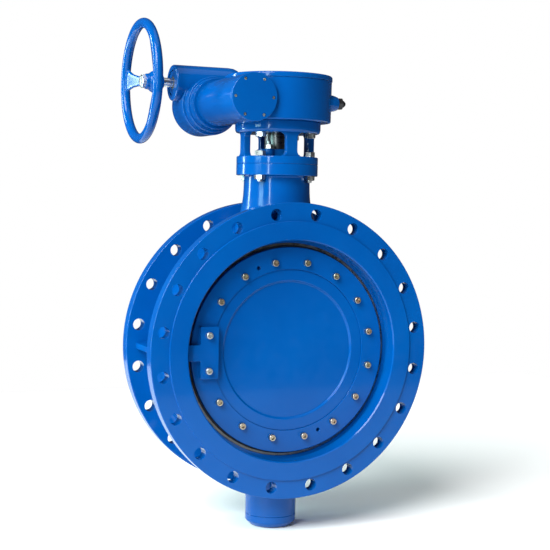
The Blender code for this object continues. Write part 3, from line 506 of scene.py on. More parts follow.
def makeBody():
    b = body
    front = [(0, -b["face"])]
    front += [(b["raisedRadius"], -b["face"], 0.0007), (b["raisedRadius"], -b["raised"], 0.0012),
              (b["rim"], -b["raised"], 0.0018), (b["rim"], -b["inner"], 0.0022),
              (b["barrel"] + 0.0005, -b["inner"], 0.012)]
    outline = front + [(p[0], -p[1], *p[2:]) for p in reversed(front)]
    casting = spun("bodyCasting", outline, "Y", sides=180)
    neck = [(0, 0.20), (0.0985, 0.20), (0.0985, 0.272, 0.02), (0.0830, 0.310, 0.024),
            (0.0768, 0.345, 0.024), (0.0758, b["neckFlangeLow"], 0.006),
            (b["neckFlange"], b["neckFlangeLow"], 0.0022),
            (b["neckFlange"], b["neckTop"], 0.0014), (0, b["neckTop"])]
    combine(casting, spun("neck", neck, "Z", onStem, 96), "UNION")
    spotFace = plug("spotFace", b["spotFace"], 0.380, 0.3945, "Z",
                    (stemX + b["neckBolts"], 0, 0), 32)
    combine(casting, joined(copiesAround(spotFace, even(4, b["neckBoltTurn"]), "Z", onStem)))
    boss = [(0, -0.20), (0.080, -0.20), (0.080, -0.274, 0.01), (0.0600, -0.306, 0.02),
            (b["bossRadius"], b["bossEnd"], 0.0012), (0, b["bossEnd"])]
    combine(casting, spun("boss", boss, "Z", onStem, 96), "UNION")
    for side in (-1, 1):
        corners = ((0.262, -0.0095), (b["ribReach"], -0.007), (b["ribReach"], 0.007),
                   (0.262, 0.0095))
        rib = slab("rib", [(side * x, -0.081, z) for x, z in corners], (0, 0.162, 0), 0.0025)
        combine(casting, rib, "UNION")
    port = [(0, -0.1245), (0.2625, -0.1245), (b["port"], -0.112), (b["port"], -b["shoulder"]),
            (0.2433, -b["shoulder"], 0.0006), (0.2433, -0.0515, 0.002),
            (b["port"], -0.0395, 0.004), (b["port"], 0.112), (0.2625, 0.1245), (0, 0.1245)]
    combine(casting, spun("port", port, "Y", sides=180))
    for turn in (0, math.pi):    # the front flange's holes, then the back's
        drill = plug("drill", b["boltHole"], -0.1117, -0.0745, "Y", (b["boltCircle"], 0, 0),
                     32, 0.0012)
        moved(drill, Matrix.Rotation(turn, 4, "X"))
        drills = copiesAround(drill, even(b["holes"], math.pi / b["holes"]), "Y")
        combine(casting, joined(drills))
    upper = [(0, 0.22), (b["stemBore"], 0.22), (b["stemBore"], 0.3323), (0.031, 0.3323),
             (0.031, 0.348), (b["packingBore"], 0.348), (b["packingBore"], 0.431), (0, 0.431)]
    combine(casting, spun("upperBore", upper, "Z", onStem, 64))
    combine(casting, plug("lowerBore", b["stemBore"], -0.40, -0.22, "Z", onStem, 64))
    fit(casting, epoxySmooth, "casing", "blue_epoxy", "valve_body")
    outer = b["seatOuter"]
    seat = [(0.2376, -0.0711, 0.0004), (outer, -0.0711, 0.0004), (outer, -0.0550),
            (0.24235, -0.0550)]
    ring = spun("seatRing", seat, "Y", sides=180, ring=True)
    # painted shade: the stainless seat ring gets the dark grey shaded steel colour
    fit(ring, paintedShadeSteel, "casing", "stainless_steel", "body_seat_ring")


makeBody()
print("body done")


bottomCover = {"top": -0.3903, "thickness": 0.0268, "radius": 0.0592, "screws": 4,
               "screwCircle": 0.036, "screwHead": 0.0065, "pocketDepth": 0.0063}


def makeBottomCover():
    c = bottomCover
    top, face = c["top"], c["top"] - c["thickness"]
    cap = spun("bottomCap", [(0, top), (c["radius"], top, 0.001),
                             (c["radius"], top - 0.0150, 0.003), (0.048, face, 0.006),
                             (0, face)], "Z", onStem, 96)
    groove = spun("groove", [(0.0411, top + 0.005), (0.0411, top - 0.0032),
                             (0.0457, top - 0.0032), (0.0457, top + 0.005)],
                  "Z", onStem, 64, ring=True)
    combine(cap, groove)
    turns = even(c["screws"], math.pi / 4)
    seat = top - c["thickness"] + c["pocketDepth"]
    pocket = plug("pocket", c["screwHead"] + 0.0007, face - 0.003, seat, "Z",
                  (stemX + c["screwCircle"], 0, 0), 32)
    combine(cap, joined(copiesAround(pocket, turns, "Z", onStem)))
    fit(cap, epoxyCast, "casing", "blue_epoxy", "bottom_cover")
    screw = socketScrew("capScrew", c["screwHead"], 0.0060, 0.004, 0.014, 20)
    moved(screw, upsideDown, shift(stemX + c["screwCircle"], 0, seat))
    for screw in copiesAround(screw, turns, "Z", onStem):
        fit(screw, blackOxide, "casing", "dark_steel")


makeBottomCover()
print("bottom cover done")


disc = {"ringFront": 0.082, "ringBack": 0.0717, "ringInner": 0.1838, "ringOuter": 0.234,
        "screwCircle": 0.2015, "screws": 16, "screwHole": 0.0062,
        "hub": 0.047, "hubLow": 0.107, "hubHigh": 0.222, "bore": 0.0303,
        "pinBore": 0.0083, "pinAt": 0.1645, "stopScrews": (11, 12)}


def screwAngles():
    return [(i + 0.5) * 2 * math.pi / disc["screws"] for i in range(disc["screws"])]


def makeDisc():
    d = disc
    profile = [(0, -0.0748), (0.1555, -0.0748, 0.0018), (0.1580, -0.0790, 0.0015),
               (0.1834, -0.0790, 0.0006), (0.1834, -0.0714), (0.2097, -0.0714),
               (0.2097, -0.0633), (0.2320, -0.0633, 0.001), (0.2320, -0.0533, 0.004),
               (0.2020, -0.0460, 0.012), (0, -0.0460)]
    plate = spun("discPlate", profile, "Y", sides=160)
    for side in (-1, 1):
        low, high = sorted((side * d["hubLow"], side * d["hubHigh"]))
        hub = [(0, low), (d["hub"], low, 0.004), (d["hub"], high, 0.004), (0, high)]
        combine(plate, spun("hub", hub, "Z", onStem, 96), "UNION")
        corners = ((-1, low + 0.004), (1, low + 0.004), (1, high - 0.012), (-1, high - 0.012))
        web = slab("web", [(stemX + x * d["hub"] * 0.8, -0.054, z) for x, z in corners],
                   (0, 0.054, 0), 0.005)
        combine(plate, web, "UNION")
    for height, reach in ((-0.095, 0.140), (0.0, 0.165), (0.095, 0.140)):
        outline = [(-reach, -0.052), (reach, -0.052), (reach - 0.03, -0.038), (0.05, -0.004),
                   (-0.05, -0.004), (-reach + 0.03, -0.038)]
        rib = slab("rib", [(x + stemX, y, height - 0.008) for x, y in outline],
                   (0, 0, 0.016), 0.003)
        combine(plate, rib, "UNION")
    spine = slab("spine", [(stemX - 0.016, -0.052, -0.111), (stemX + 0.016, -0.052, -0.111),
                           (stemX + 0.016, 0.012, -0.111), (stemX - 0.016, 0.012, -0.111)],
                 (0, 0, 0.222), 0.005)
    combine(plate, spine, "UNION")
    for side in (-1, 1):
        low, high = sorted((side * 0.095, side * 0.242))
        combine(plate, plug("bore", d["bore"], low, high, "Z", onStem, 64))
        combine(plate, plug("pinBore", d["pinBore"], -0.040, 0.057, "Y",
                            (stemX, 0, side * d["pinAt"]), 32))
    drill = plug("drill", d["screwHole"], -0.0814, -0.059, "Y", (d["screwCircle"], 0, 0), 16)
    combine(plate, joined(copiesAround(drill, screwAngles(), "Y")))
    fit(plate, epoxySmooth, "disc_and_stem", "blue_epoxy", "disc")


def makeClampRing():
    d = disc
    back = d["ringBack"]
    ring = spun("clampRing", [(d["ringInner"], -back), (d["ringInner"], -d["ringFront"], 0.0006),
                              (d["ringOuter"], -d["ringFront"], 0.0020),
                              (d["ringOuter"], -back, 0.0006)], "Y", sides=160, ring=True)
    drill = plug("drill", d["screwHole"], -0.0822, -0.065, "Y", (d["screwCircle"], 0, 0), 24,
                 0.0006)
    combine(ring, joined(copiesAround(drill, screwAngles(), "Y")))
    jack = plug("jack", 0.0045, -0.0822, -0.065, "Y", (0, 0, d["screwCircle"]), 24, 0.0008)
    combine(ring, joined(copiesAround(jack, [math.radians(-22.5), math.radians(157.5)], "Y")))
    fit(ring, epoxySmooth, "disc_and_stem", "blue_epoxy", "seal_retaining_ring")
    lip = [(0.2100, -0.0714), (0.2325, -0.0714, 0.001)]
    for k in range(7):
        along = -1 + k / 3
        drop = 0.0032 * (1 - math.sqrt(max(0.0, 1 - (along * 0.999) ** 2)))
        lip.append((0.2385 + 0.283 * 0.0039 * along - drop, -0.0675 + 0.0039 * along))
    lip.append((0.2100, -0.0636))
    fit(spun("sealLip", lip, "Y", sides=160, ring=True), rubber, "disc_and_stem",
        "seal_rubber", "disc_seal_ring")


stopPlate = {"outer": -0.2155, "inner": -0.1735, "tab": -0.2435, "half": 0.058,
             "tabHalf": 0.018, "front": -0.0943, "thickness": 0.012}


def makeStopPlate():
    # bolted across two of the ring's screws; its tab meets the body's shoulder
    p = stopPlate
    outer, inner, tab = p["outer"], p["inner"], p["tab"]
    half, narrow = p["half"], p["tabHalf"]
    outline = [(inner, half, 0.004), (inner, -half, 0.004), (outer, -half, 0.004),
               (outer, -narrow, 0.003), (tab, -narrow, 0.002), (tab, narrow, 0.002),
               (outer, narrow, 0.003), (outer, half, 0.004)]
    points = [(spot.x, p["front"], spot.y) for spot in rounded(outline)]
    plate = slab("stopPlate", points, (0, p["thickness"], 0), 0.0010)
    heel = slab("heel", [(-0.2433, -0.0915, -0.0178), (-0.2352, -0.0915, -0.0178),
                         (-0.2352, -0.0915, 0.0178), (-0.2433, -0.0915, 0.0178)],
                (0, 0.0197, 0), 0.0008)
    combine(plate, heel, "UNION")
    for i in disc["stopScrews"]:
        angle = screwAngles()[i]
        spot = (disc["screwCircle"] * math.sin(angle), 0, disc["screwCircle"] * math.cos(angle))
        combine(plate, plug("hole", disc["screwHole"], -0.11, -0.07, "Y", spot, 32))
    fit(plate, epoxySmooth, "disc_and_stem", "blue_epoxy", "closing_stop")


ringScrew = {"head": 0.0076, "height": 0.0100, "shank": 0.0056, "length": 0.021,
             "onRing": 0.0823, "onStop": 0.0946}


def makeRingScrews():
    m = ringScrew
    pattern = socketScrew("ringScrewPattern", m["head"], m["height"], m["shank"], m["length"])
    for i, angle in enumerate(screwAngles()):
        onStop = i in disc["stopScrews"]
        seat = m["onStop"] if onStop else m["onRing"]
        x = disc["screwCircle"] * math.sin(angle)
        z = disc["screwCircle"] * math.cos(angle)
        screw = copyOf(pattern, f"ringScrew{i + 1:02d}", Matrix.Rotation(i * 1.3, 4, "Z"),
                       towardFront, shift(x, -seat, z))
        look = stainless if onStop else zincYellow
        fit(screw, look, "disc_and_stem", "yellow_zinc", f"retaining_screw_{i + 1:02d}")
    bpy.data.objects.remove(pattern)


makeDisc()
makeClampRing()
makeStopPlate()
makeRingScrews()
print("disc done")


stem = {"radius": 0.030, "low": 0.097, "top": 0.6053, "keyLow": 0.543, "keyHalf": 0.0083,
        "keyLength": 0.0486}


def makeStem():
    t = stem
    shaft = spun("stemShaft", [(0, t["low"]), (t["radius"], t["low"], 0.002),
                               (t["radius"], t["top"], 0.002), (0, t["top"])], "Z", onStem, 72)
    corners = ((0.0205, -1), (0.040, -1), (0.040, 1), (0.0205, 1))
    combine(shaft, slab("keyway", [(x, y * t["keyHalf"], t["keyLow"]) for x, y in corners],
                        (0, 0, t["keyLength"])))
    combine(shaft, plug("pinBore", disc["pinBore"], -0.06, 0.06, "Y",
                        (stemX, 0, disc["pinAt"]), 32))
    # painted shade: the stainless stem gets the dark grey shaded steel colour
    fit(shaft, paintedShadeSteel, "disc_and_stem", "stainless_steel", "drive_shaft")


gland = {"low": 0.441, "high": 0.455, "turn": math.radians(45), "studs": 0.0515,
         "studTop": 0.473, "nutFlats": 0.018, "barrel": 0.0463, "ear": 0.0115, "earReach": 0.049}


def makeGland():
    low, high, turn = gland["low"], gland["high"], gland["turn"]
    outline = []
    barrel, ear = gland["barrel"], gland["ear"]
    start = math.asin(ear / barrel)
    for side in (0, math.pi):
        for k in range(13):
            a = start + (math.pi - 2 * start) * k / 12 + side
            outline.append((barrel * math.cos(a), barrel * math.sin(a)))
        for k in range(9):
            a = math.pi / 2 + math.pi * k / 8 + side
            end = -gland["earReach"] * math.cos(side)
            outline.append((end + ear * math.cos(a), ear * math.sin(a)))
    flange = slab("glandFlange", [(x, y, low) for x, y in outline], (0, 0, high - low), 0.0010)
    moved(flange, Matrix.Rotation(turn, 4, "Z"), shift(stemX, 0, 0))
    sleeve = spun("sleeve", [(0, 0.3923), (0.0460, 0.3923), (0.0460, 0.443), (0, 0.443)],
                  "Z", onStem, 64)
    combine(flange, sleeve, "UNION")
    combine(flange, plug("bore", 0.031, 0.38, 0.46, "Z", onStem, 64))
    for i, side in enumerate((0, math.pi)):
        x = stemX + gland["studs"] * math.cos(turn + side)
        y = gland["studs"] * math.sin(turn + side)
        combine(flange, plug("hole", 0.0061, 0.43, 0.46, "Z", (x, y, 0), 24))
        top = gland["studTop"]
        line = [(0, 0.4213)] + threadLine(0.0055, 0.4213, top) + [(0, top)]
        fit(spun(f"glandStud{i + 1}", line, "Z", (x, y, 0), 24), stainless, "casing",
            "stainless_steel", f"gland_stud_{i + 1}")
        nut = hexNut(f"glandNut{i + 1}", gland["nutFlats"], 0.010, 0.0056)
        moved(nut, shift(x, y, 0.4553))
        fit(nut, stainless, "casing", "stainless_steel", f"gland_nut_{i + 1}")
    fit(flange, epoxyCast, "casing", "blue_epoxy", "gland_follower")


yokeSize = {"foot": 0.4385, "head": 0.492, "top": 0.5175, "footRadius": 0.094,
            "headRadius": 0.0986, "base": 0.4213, "bore": 0.062, "headBore": 0.044, "posts": 4,
            "postStart": 0.0715, "postDepth": 0.016, "boltFlats": 0.021, "boltHeight": 0.0105,
            "boltShank": 0.006, "nutHeight": 0.0100, "studLow": 0.3800, "studTop": 0.4059}


def makeYoke():
    foot, head, top = yokeSize["foot"], yokeSize["head"], yokeSize["top"]
    base, bore, headBore = yokeSize["base"], yokeSize["bore"], yokeSize["headBore"]
    broad, wide = yokeSize["footRadius"], yokeSize["headRadius"]
    yoke = spun("yokeFrame", [(bore, base), (broad, base, 0.0012), (broad, foot, 0.003),
                              (bore, foot, 0.0015)], "Z", onStem, 96, ring=True)
    upper = spun("upper", [(headBore, head), (wide - 0.0032, head, 0.003),
                           (wide, head + 0.0065, 0.004), (wide, top, 0.0012), (headBore, top)],
                 "Z", onStem, 96, ring=True)
    half = [(0.0230, foot - 0.004), (0.0215, foot + 0.001), (0.0165, foot + 0.0040),
            (0.0140, foot + 0.0085), (0.0135, foot + 0.014)]
    middle = (foot + head) / 2
    side = half + [(w, 2 * middle - z) for w, z in reversed(half)]
    outline = side + [(-w, z) for w, z in reversed(side)]
    for angle in even(yokeSize["posts"]):
        post = slab("post", [(yokeSize["postStart"], w, z) for w, z in outline],
                    (yokeSize["postDepth"], 0, 0), 0.0025)
        moved(post, Matrix.Rotation(angle, 4, "Z"), shift(stemX, 0, 0))
        combine(yoke, post, "UNION")
    combine(yoke, upper, "UNION")
    fit(yoke, epoxyCast, "casing", "blue_epoxy", "mounting_yoke")
    studLow, studTop = yokeSize["studLow"], yokeSize["studTop"]
    bolt = hexBolt("yokeBolt", yokeSize["boltFlats"], yokeSize["boltHeight"],
                   yokeSize["boltShank"], -0.022)
    nut = hexNut("yokeNut", yokeSize["boltFlats"], yokeSize["nutHeight"], yokeSize["boltShank"])
    for i, angle in enumerate(even(4, body["neckBoltTurn"])):
        x = stemX + body["neckBolts"] * math.cos(angle)
        y = body["neckBolts"] * math.sin(angle)
        spin = Matrix.Rotation(angle + 0.2 * i, 4, "Z")
        pieces = [copyOf(bolt, f"headBolt{i + 1}", spin, upsideDown, shift(x, y, head - 0.0008)),
                  copyOf(bolt, f"footBolt{i + 1}", spin, shift(x, y, foot + 0.0008)),
                  copyOf(nut, f"footNut{i + 1}", spin, upsideDown, shift(x, y, 0.3947))]
        # the thread's chamfered end is the lower one
        thread = reversed(threadLine(0.0059, studLow, studTop))
        stud = [(0, studLow - 0.0005)] + [(r, studLow + studTop - h) for r, h in thread]
        stud.append((0, studTop))
        pieces.append(spun(f"footThread{i + 1}", stud, "Z", (x, y, 0), 24))
        for piece in pieces:
            fit(piece, stainless, "casing", "stainless_steel")
    bpy.data.objects.remove(bolt)
    bpy.data.objects.remove(nut)


makeStem()
makeGland()
makeYoke()
print("yoke done")


gear = {"drum": 0.1224, "lid": 0.1237, "low": 0.5178, "high": 0.6113, "lidTop": 0.6236,
        "tunnel": 0.0535, "front": 0.1123, "back": 0.1151, "lidScrews": 0.111,
        "lidBolts": 8, "cavity": 0.111, "floor": 0.014, "tunnelBore": 0.0345,
        "coverScrews": 6, "coverCircle": 0.0445, "coverPocket": 0.0060,
        "stopSide": 0.048, "stopBossEnd": 0.1262, "stopNut": 0.025}


def makeGearCase():
    g = gear
    case = spun("gearCase", [(0, g["low"]), (g["drum"] - 0.001, g["low"], 0.004),
                             (g["drum"], g["high"], 0.001), (0, g["high"])],
                "Z", onStem, 144)
    tunnel = [(0, -g["front"]), (g["tunnel"], -g["front"], 0.0012),
              (g["tunnel"], g["back"], 0.0012), (0, g["back"])]
    combine(case, spun("tunnel", tunnel, "Y", onWorm, 96), "UNION")
    for side in (-1, 1):
        end = g["stopBossEnd"]
        boss = [(0, 0.096), (0.0215, 0.096), (0.0185, 0.116, 0.006), (0.0150, end, 0.0015),
                (0, end)]
        combine(case, spun("stopBoss", boss, "X", (stemX, side * g["stopSide"], wormZ), 48),
                "UNION")
    combine(case, plug("cavity", g["cavity"], g["low"] + g["floor"], 0.65, "Z", onStem, 96))
    combine(case, plug("tunnelBore", g["tunnelBore"], -0.13, 0.13, "Y", onWorm, 64))
    combine(case, plug("floorBore", 0.031, 0.50, 0.56, "Z", onStem, 64))
    for side in (-1, 1):
        combine(case, plug("stopBore", 0.0083, 0.05, 0.15, "X",
                           (stemX, side * g["stopSide"], wormZ), 24))
    fit(case, epoxyCast, "casing", "blue_epoxy", "gearbox_housing")
    low = g["high"] + fitGap
    lid = spun("gearLid", [(0, low), (g["lid"], low, 0.001), (g["lid"], g["lidTop"], 0.005),
                           (0, g["lidTop"])], "Z", onStem, 144)
    combine(lid, plug("tunnelRelief", 0.0538, -0.12, 0.12, "Y", onWorm, 96))
    combine(lid, plug("indicatorBore", 0.024, 0.60, 0.63, "Z", onStem, 64))
    hub = spun("collar", [(0.0245, g["lidTop"] - 0.002), (0.034, g["lidTop"] - 0.002),
                          (0.034, g["lidTop"] + 0.0018, 0.001),
                          (0.0245, g["lidTop"] + 0.0018, 0.0006)], "Z", onStem, 72,
               ring=True)
    combine(lid, hub, "UNION")
    pocket = plug("pocket", 0.0069, g["lidTop"] - 0.0061, g["lidTop"] + 0.004, "Z",
                  (stemX + g["lidScrews"], 0, 0), 32)
    turns = even(g["lidBolts"], math.pi / g["lidBolts"])
    combine(lid, joined(copiesAround(pocket, turns, "Z", onStem)))
    fit(lid, epoxyCast, "casing", "blue_epoxy", "gearbox_cover")
    screw = socketScrew("lidScrew", 0.0062, 0.0056, 0.0035, 0.004, 20)
    moved(screw, shift(stemX + g["lidScrews"], 0, g["lidTop"] - 0.0061))
    for screw in copiesAround(screw, turns, "Z", onStem):
        fit(screw, stainless, "casing", "stainless_steel")


def makePointer():
    top = gear["lidTop"]
    pointer = spun("pointer", [(0, 0.6056), (0.0235, 0.6056), (0.0235, top - 0.002, 0.001),
                               (0, top - 0.002)], "Z", onStem, 64)
    arrow = slab("arrow", [(stemX + x, y, top - 0.004) for x, y in
                           ((-0.0035, -0.016), (0.0035, -0.016), (0.0035, 0.008), (0.008, 0.008),
                            (0, 0.0205), (-0.008, 0.008), (-0.0035, 0.008))],
                 (0, 0, 0.006), 0.0005)
    combine(pointer, arrow, "UNION")
    fit(pointer, stainless, "disc_and_stem", "stainless_steel", "position_indicator")


def makeWormCover():
    g = gear
    front = g["front"] + fitGap
    seat = -front - g["coverPocket"]
    turns = even(g["coverScrews"])
    cover = spun("wormCover", [(0, -front), (g["tunnel"], -front, 0.0006),
                               (g["tunnel"], -front - 0.0097, 0.0018), (0, -front - 0.0097)],
                 "Y", onWorm, 96)
    pocket = plug("pocket", 0.0037, -front - 0.011, seat, "Y",
                  (wormX + g["coverCircle"], 0, wormZ), 24)
    combine(cover, joined(copiesAround(pocket, turns, "Y", onWorm)))
    fit(cover, epoxyCast, "casing", "blue_epoxy", "worm_end_cover")
    screw = socketScrew("wormCoverScrew", 0.0033, 0.0034, 0.002, 0.003, 12)
    moved(screw, towardFront, shift(wormX + g["coverCircle"], seat, wormZ))
    for screw in copiesAround(screw, turns, "Y", onWorm):
        fit(screw, stainless, "casing", "stainless_steel")


def makeStopScrews():
    reach = 0.0270
    for name, side in (("closed", 1), ("open", -1)):
        at = (stemX, side * gear["stopSide"], wormZ)
        line = [(0, reach), (0.0075, reach, 0.001), (0.0080, reach + 0.003)]
        line += threadLine(0.0080, 0.112, 0.1435, 0.0020) + [(0.0045, 0.1465), (0, 0.1470)]
        fit(spun(f"{name}StopScrew", line, "X", at, 32), blackOxide, "casing", "dark_steel",
            f"{name}_stop_screw")
        nut = moved(hexNut(f"{name}StopNut", gear["stopNut"], 0.0115, 0.0081),
                    towardRight, shift(stemX + gear["stopBossEnd"] + fitGap, at[1], wormZ))
        fit(nut, blackOxide, "casing", "dark_steel", f"{name}_stop_nut")


makeGearCase()
makePointer()
makeWormCover()
makeStopScrews()
print("gearbox done")


firstStage = {"front": 0.1154, "back": 0.245, "radius": 0.072, "tube": 0.043, "left": 0.087,
              "right": 0.084, "recess": 0.030, "inner": 0.0285, "lidRadius": 0.066,
              "lidDepth": 0.0103, "lidScrews": 0.056, "lidBolts": 6, "lidTurn": 0.3,
              "pocketDepth": 0.0053}


def makeFirstStage():
    f = firstStage
    at, across = onWorm, onInput
    case = spun("firstCase", [(0, f["front"]), (0.060, f["front"], 0.0015),
                              (0.060, 0.1394, 0.002), (0.066, 0.1394, 0.003),
                              (0.066, 0.1614, 0.002), (f["radius"], 0.1614, 0.0045),
                              (f["radius"], f["back"], 0.0025), (0, f["back"])],
                "Y", at, 120)
    tube = spun("inputTube", [(0, -f["left"]), (f["tube"], -f["left"], 0.005),
                              (f["tube"], f["right"] - 0.002, 0.028), (0, f["right"])],
                "X", across, 96)
    combine(case, tube, "UNION")
    combine(case, plug("chamber", 0.046, 0.180, 0.26, "Y", at, 64))
    combine(case, plug("passage", 0.0135, 0.10, 0.20, "Y", at, 48))
    bore = [(0, -0.10), (f["recess"], -0.10), (f["recess"], 0.0040 - f["left"], 0.001),
            (f["inner"], 0.0050 - f["left"], 0.001), (f["inner"], 0.064), (0, 0.064)]
    combine(case, spun("inputBore", bore, "X", across, 72))
    fit(case, epoxyCast, "casing", "blue_epoxy", "first_stage_housing")
    wide, lidFront, lidBack = f["lidRadius"], f["back"] + fitGap, f["back"] + f["lidDepth"]
    lid = spun("firstLid", [(0, lidFront), (wide, lidFront, 0.0008), (wide, lidBack, 0.002),
                            (0, lidBack)], "Y", at, 96)
    seat = lidBack - f["pocketDepth"]
    turns = even(f["lidBolts"], f["lidTurn"])
    pocket = plug("pocket", 0.0057, -lidBack - 0.002, -seat, "Y",
                  (wormX + f["lidScrews"], 0, -wormZ), 24)
    moved(pocket, Matrix.Rotation(math.pi, 4, "X"))
    combine(lid, joined(copiesAround(pocket, turns, "Y", at)))
    fit(lid, epoxyCast, "casing", "blue_epoxy", "first_stage_cover")
    screw = socketScrew("firstLidScrew", 0.0052, 0.0052, 0.003, 0.003, 16)
    moved(screw, towardBack, shift(wormX + f["lidScrews"], seat, wormZ))
    for screw in copiesAround(screw, turns, "Y", at):
        fit(screw, blackOxide, "casing", "dark_steel")
    # a painted plate holds the shaft seal in the tube's open end
    lip = -f["left"] + 0.0016
    plate = spun("sealPlate", [(0.0150, lip, 0.0005), (f["inner"] - 0.0004, lip, 0.0005),
                               (f["inner"] - 0.0004, lip + 0.0012), (0.0150, lip + 0.0012)],
                 "X", across, 64, ring=True)
    fit(plate, epoxyCast, "casing", "blue_epoxy")
    seal = spun("inputSeal", [(0.0113, lip + 0.0004), (0.0148, lip + 0.0002),
                              (0.0148, lip + 0.0012), (0.0113, lip + 0.0012)], "X",
                across, 64, ring=True)
    fit(seal, rubber, "casing", "seal_rubber")


handwheel = {"x": -0.273, "rim": 0.1355, "section": 0.0120, "dish": 0.031, "hub": 0.025,
             "hubHalf": 0.022, "spokes": 3, "turn": math.radians(-85), "web": 0.009,
             "nutFlats": 0.030}


def makeHandwheel():
    h = handwheel
    at = Vector((h["x"], firstY, inputZ))
    hubAt = at + Vector((h["dish"], 0, 0))
    freshStart()
    bpy.ops.mesh.primitive_torus_add(major_radius=h["rim"], minor_radius=h["section"],
                                     major_segments=128, minor_segments=24)
    wheel = bpy.context.object
    wheel.name = "rim"
    bpy.ops.object.mode_set(mode="EDIT")
    bpy.ops.transform.resize(value=(1, 1, 0.96), center_override=(0, 0, 0))
    bpy.ops.object.mode_set(mode="OBJECT")
    moved(wheel, towardRight)
    half = [(0.0125, 0.014), (0.0115, 0.045), (0.0125, 0.078), (0.0160, 0.101), (0.0225, 0.117),
            (0.0330, 0.130)]
    outline = half + [(-w, r) for w, r in reversed(half)]
    lean = h["dish"] / (h["rim"] - h["hub"])
    slant = Matrix(((1, 0, -lean, lean * h["rim"]), (0, 1, 0, 0), (0, 0, 1, 0), (0, 0, 0, 1)))
    for i in range(h["spokes"]):
        spoke = slab("spoke", [(-h["web"] / 2, w, r) for w, r in outline], (h["web"], 0, 0),
                     0.003)
        turn = h["turn"] + 2 * math.pi * i / h["spokes"]
        moved(spoke, slant, Matrix.Rotation(turn, 4, "X"))
        combine(wheel, spoke, "UNION")
    end = h["hubHalf"]
    hub = [(0, -end), (0.0180, -end, 0.0015), (0.0190, -end + 0.010, 0.003),
           (h["hub"], -end + 0.016, 0.003), (h["hub"], end - 0.016, 0.003),
           (0.0185, end - 0.009, 0.003), (0.0165, end, 0.0015), (0, end)]
    combine(wheel, spun("hub", hub, "X", (h["dish"], 0, 0), 64), "UNION")
    finishWith(wheel, "REMESH", mode="VOXEL", voxel_size=0.0016)
    finishWith(wheel, "SMOOTH", factor=0.5, iterations=6)
    combine(wheel, plug("bore", 0.0112, -0.03, 0.06, "X", (0, 0, 0), 48))
    moved(wheel, Matrix.Translation(at))
    wheel.name = "handwheelCasting"
    fit(wheel, epoxySmooth, "handwheel_and_input", "blue_epoxy", "handwheel")
    nut = moved(hexNut("wheelNut", h["nutFlats"], 0.009, 0.0108), towardLeft,
                shift(hubAt.x - end - fitGap, at.y, at.z))
    fit(nut, stainless, "handwheel_and_input", "stainless_steel", "handwheel_nut")
    sleeve = spun("shaftSleeve", [(0.0106, end - 0.001), (0.0110, end - 0.001, 0.0003),
                                  (0.0110, 0.0470, 0.0003), (0.0106, 0.0470)], "X", hubAt, 64,
                  ring=True)
    fit(sleeve, stainless, "handwheel_and_input", "stainless_steel")
    tip = [(0, -0.0345), (0.0085, -0.0345, 0.001), (0.0106, -0.0330), (0.0106, -0.0311),
           (0, -0.0311)]
    fit(spun("shaftTip", tip, "X", hubAt, 48), stainless, "handwheel_and_input",
        "stainless_steel")


makeFirstStage()
makeHandwheel()
print("first stage and handwheel done")


studio = {"azimuth": -22.62, "elevation": 3.30, "distance": 2.894, "roll": 1.14,
          "target": (-0.0037, 0.0, 0.1657), "lens": 81.6, "floor": -0.4178, "floorSize": 4.2,
          "fill": 0.22, "shine": 0.05, "sunPower": 4.2, "sunSpread": 34, "sunFrom": (-54, 40)}
softBoxes = {"frontStrip": ((-2.15, -2.08, 0.8), (0.18, 2.2), 32, (0.8, 1.0, 1.0)),
             "sideStrip": ((-2.40, 2.00, 0.8), (0.35, 2.4), 75, (0.75, 1.0, 1.0)),
             "leftBox": ((-3.0, -0.7, 1.3), (0.9, 1.6), 60, (0.55, 1.0, 0.95)),
             "topBox": ((0.3, -0.4, 3.2), (2.4, 1.8), 12, (1.0, 1.0, 1.0))}


def makeFloor():
    freshStart()
    bpy.ops.mesh.primitive_plane_add(size=studio["floorSize"],
                                     location=(0, 0, studio["floor"]))
    floor = bpy.context.object
    floor.name = "floor"
    material, tree, shader, where = startMaterial("floorPale", Roughness=0.6)
    tree.links.new(mixColours(tree, noise(tree, where, 1.5, 2.0), (0.97, 0.965, 0.96),
                              (0.99, 0.985, 0.98)), shader.inputs["Base Color"])
    floor.data.materials.append(material)


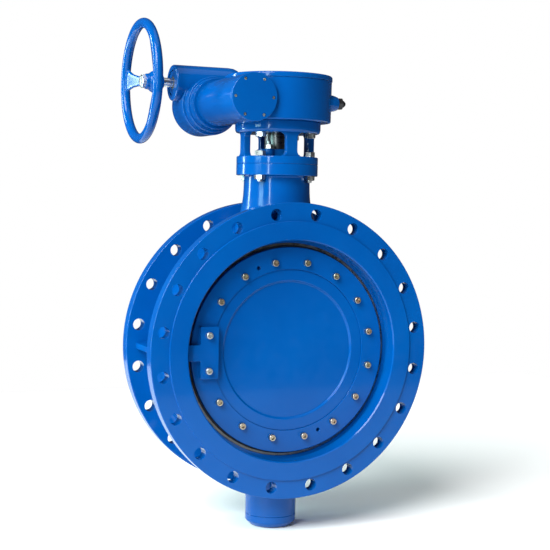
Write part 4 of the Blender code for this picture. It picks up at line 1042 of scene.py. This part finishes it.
def addLight(name, place, size, power, tint, target=(0, 0, 0.15)):
    light = bpy.data.lights.new(name, "AREA")
    light.shape = "RECTANGLE"
    light.size, light.size_y = size
    light.energy = power
    light.color = tint
    holder = bpy.data.objects.new(name, light)
    bpy.context.scene.collection.objects.link(holder)
    holder.location = place
    holder.rotation_euler = (Vector(target) - Vector(place)).to_track_quat("-Z", "Y").to_euler()


def fromAngles(azimuth, elevation):
    a, e = math.radians(azimuth), math.radians(elevation)
    return Vector((math.sin(a) * math.cos(e), -math.cos(a) * math.cos(e), math.sin(e)))


def makeStudio():
    s = studio
    world = bpy.data.worlds.new("studio")
    bpy.context.scene.world = world
    world.use_nodes = True
    tree = world.node_tree
    back = tree.nodes["Background"]
    back.inputs["Color"].default_value = (1.0, 1.0, 1.0, 1)
    # white behind the object, dimmer as a light and dimmer still in the gloss
    path = tree.nodes.new("ShaderNodeLightPath")
    seen = maths(tree, "MULTIPLY", path.outputs["Is Camera Ray"], 1.0 - s["fill"])
    gloss = maths(tree, "MULTIPLY", path.outputs["Is Glossy Ray"], s["shine"] - s["fill"])
    level = maths(tree, "ADD", maths(tree, "ADD", seen, gloss), s["fill"])
    tree.links.new(level, back.inputs["Strength"])
    for name, (place, size, power, tint) in softBoxes.items():
        addLight(name, place, size, power, tint)
    sun = bpy.data.lights.new("softSun", "SUN")
    sun.energy = s["sunPower"]
    sun.angle = math.radians(s["sunSpread"])
    sunHolder = bpy.data.objects.new("softSun", sun)
    bpy.context.scene.collection.objects.link(sunHolder)
    sunHolder.rotation_euler = fromAngles(*s["sunFrom"]).to_track_quat("Z", "Y").to_euler()
    away = fromAngles(s["azimuth"], s["elevation"])
    data = bpy.data.cameras.new("camera")
    data.lens = s["lens"]
    data.sensor_width = 36
    camera = bpy.data.objects.new("camera", data)
    bpy.context.scene.collection.objects.link(camera)
    camera.location = Vector(s["target"]) + away * s["distance"]
    look = (-away).to_track_quat("-Z", "Y").to_matrix().to_4x4()
    turn = Matrix.Rotation(math.radians(s["roll"]), 4, "Z")
    camera.rotation_euler = (look @ turn).to_euler()
    bpy.context.scene.camera = camera
    bpy.context.scene.view_settings.view_transform = "Standard"


makeFloor()
makeStudio()
print("studio ready")
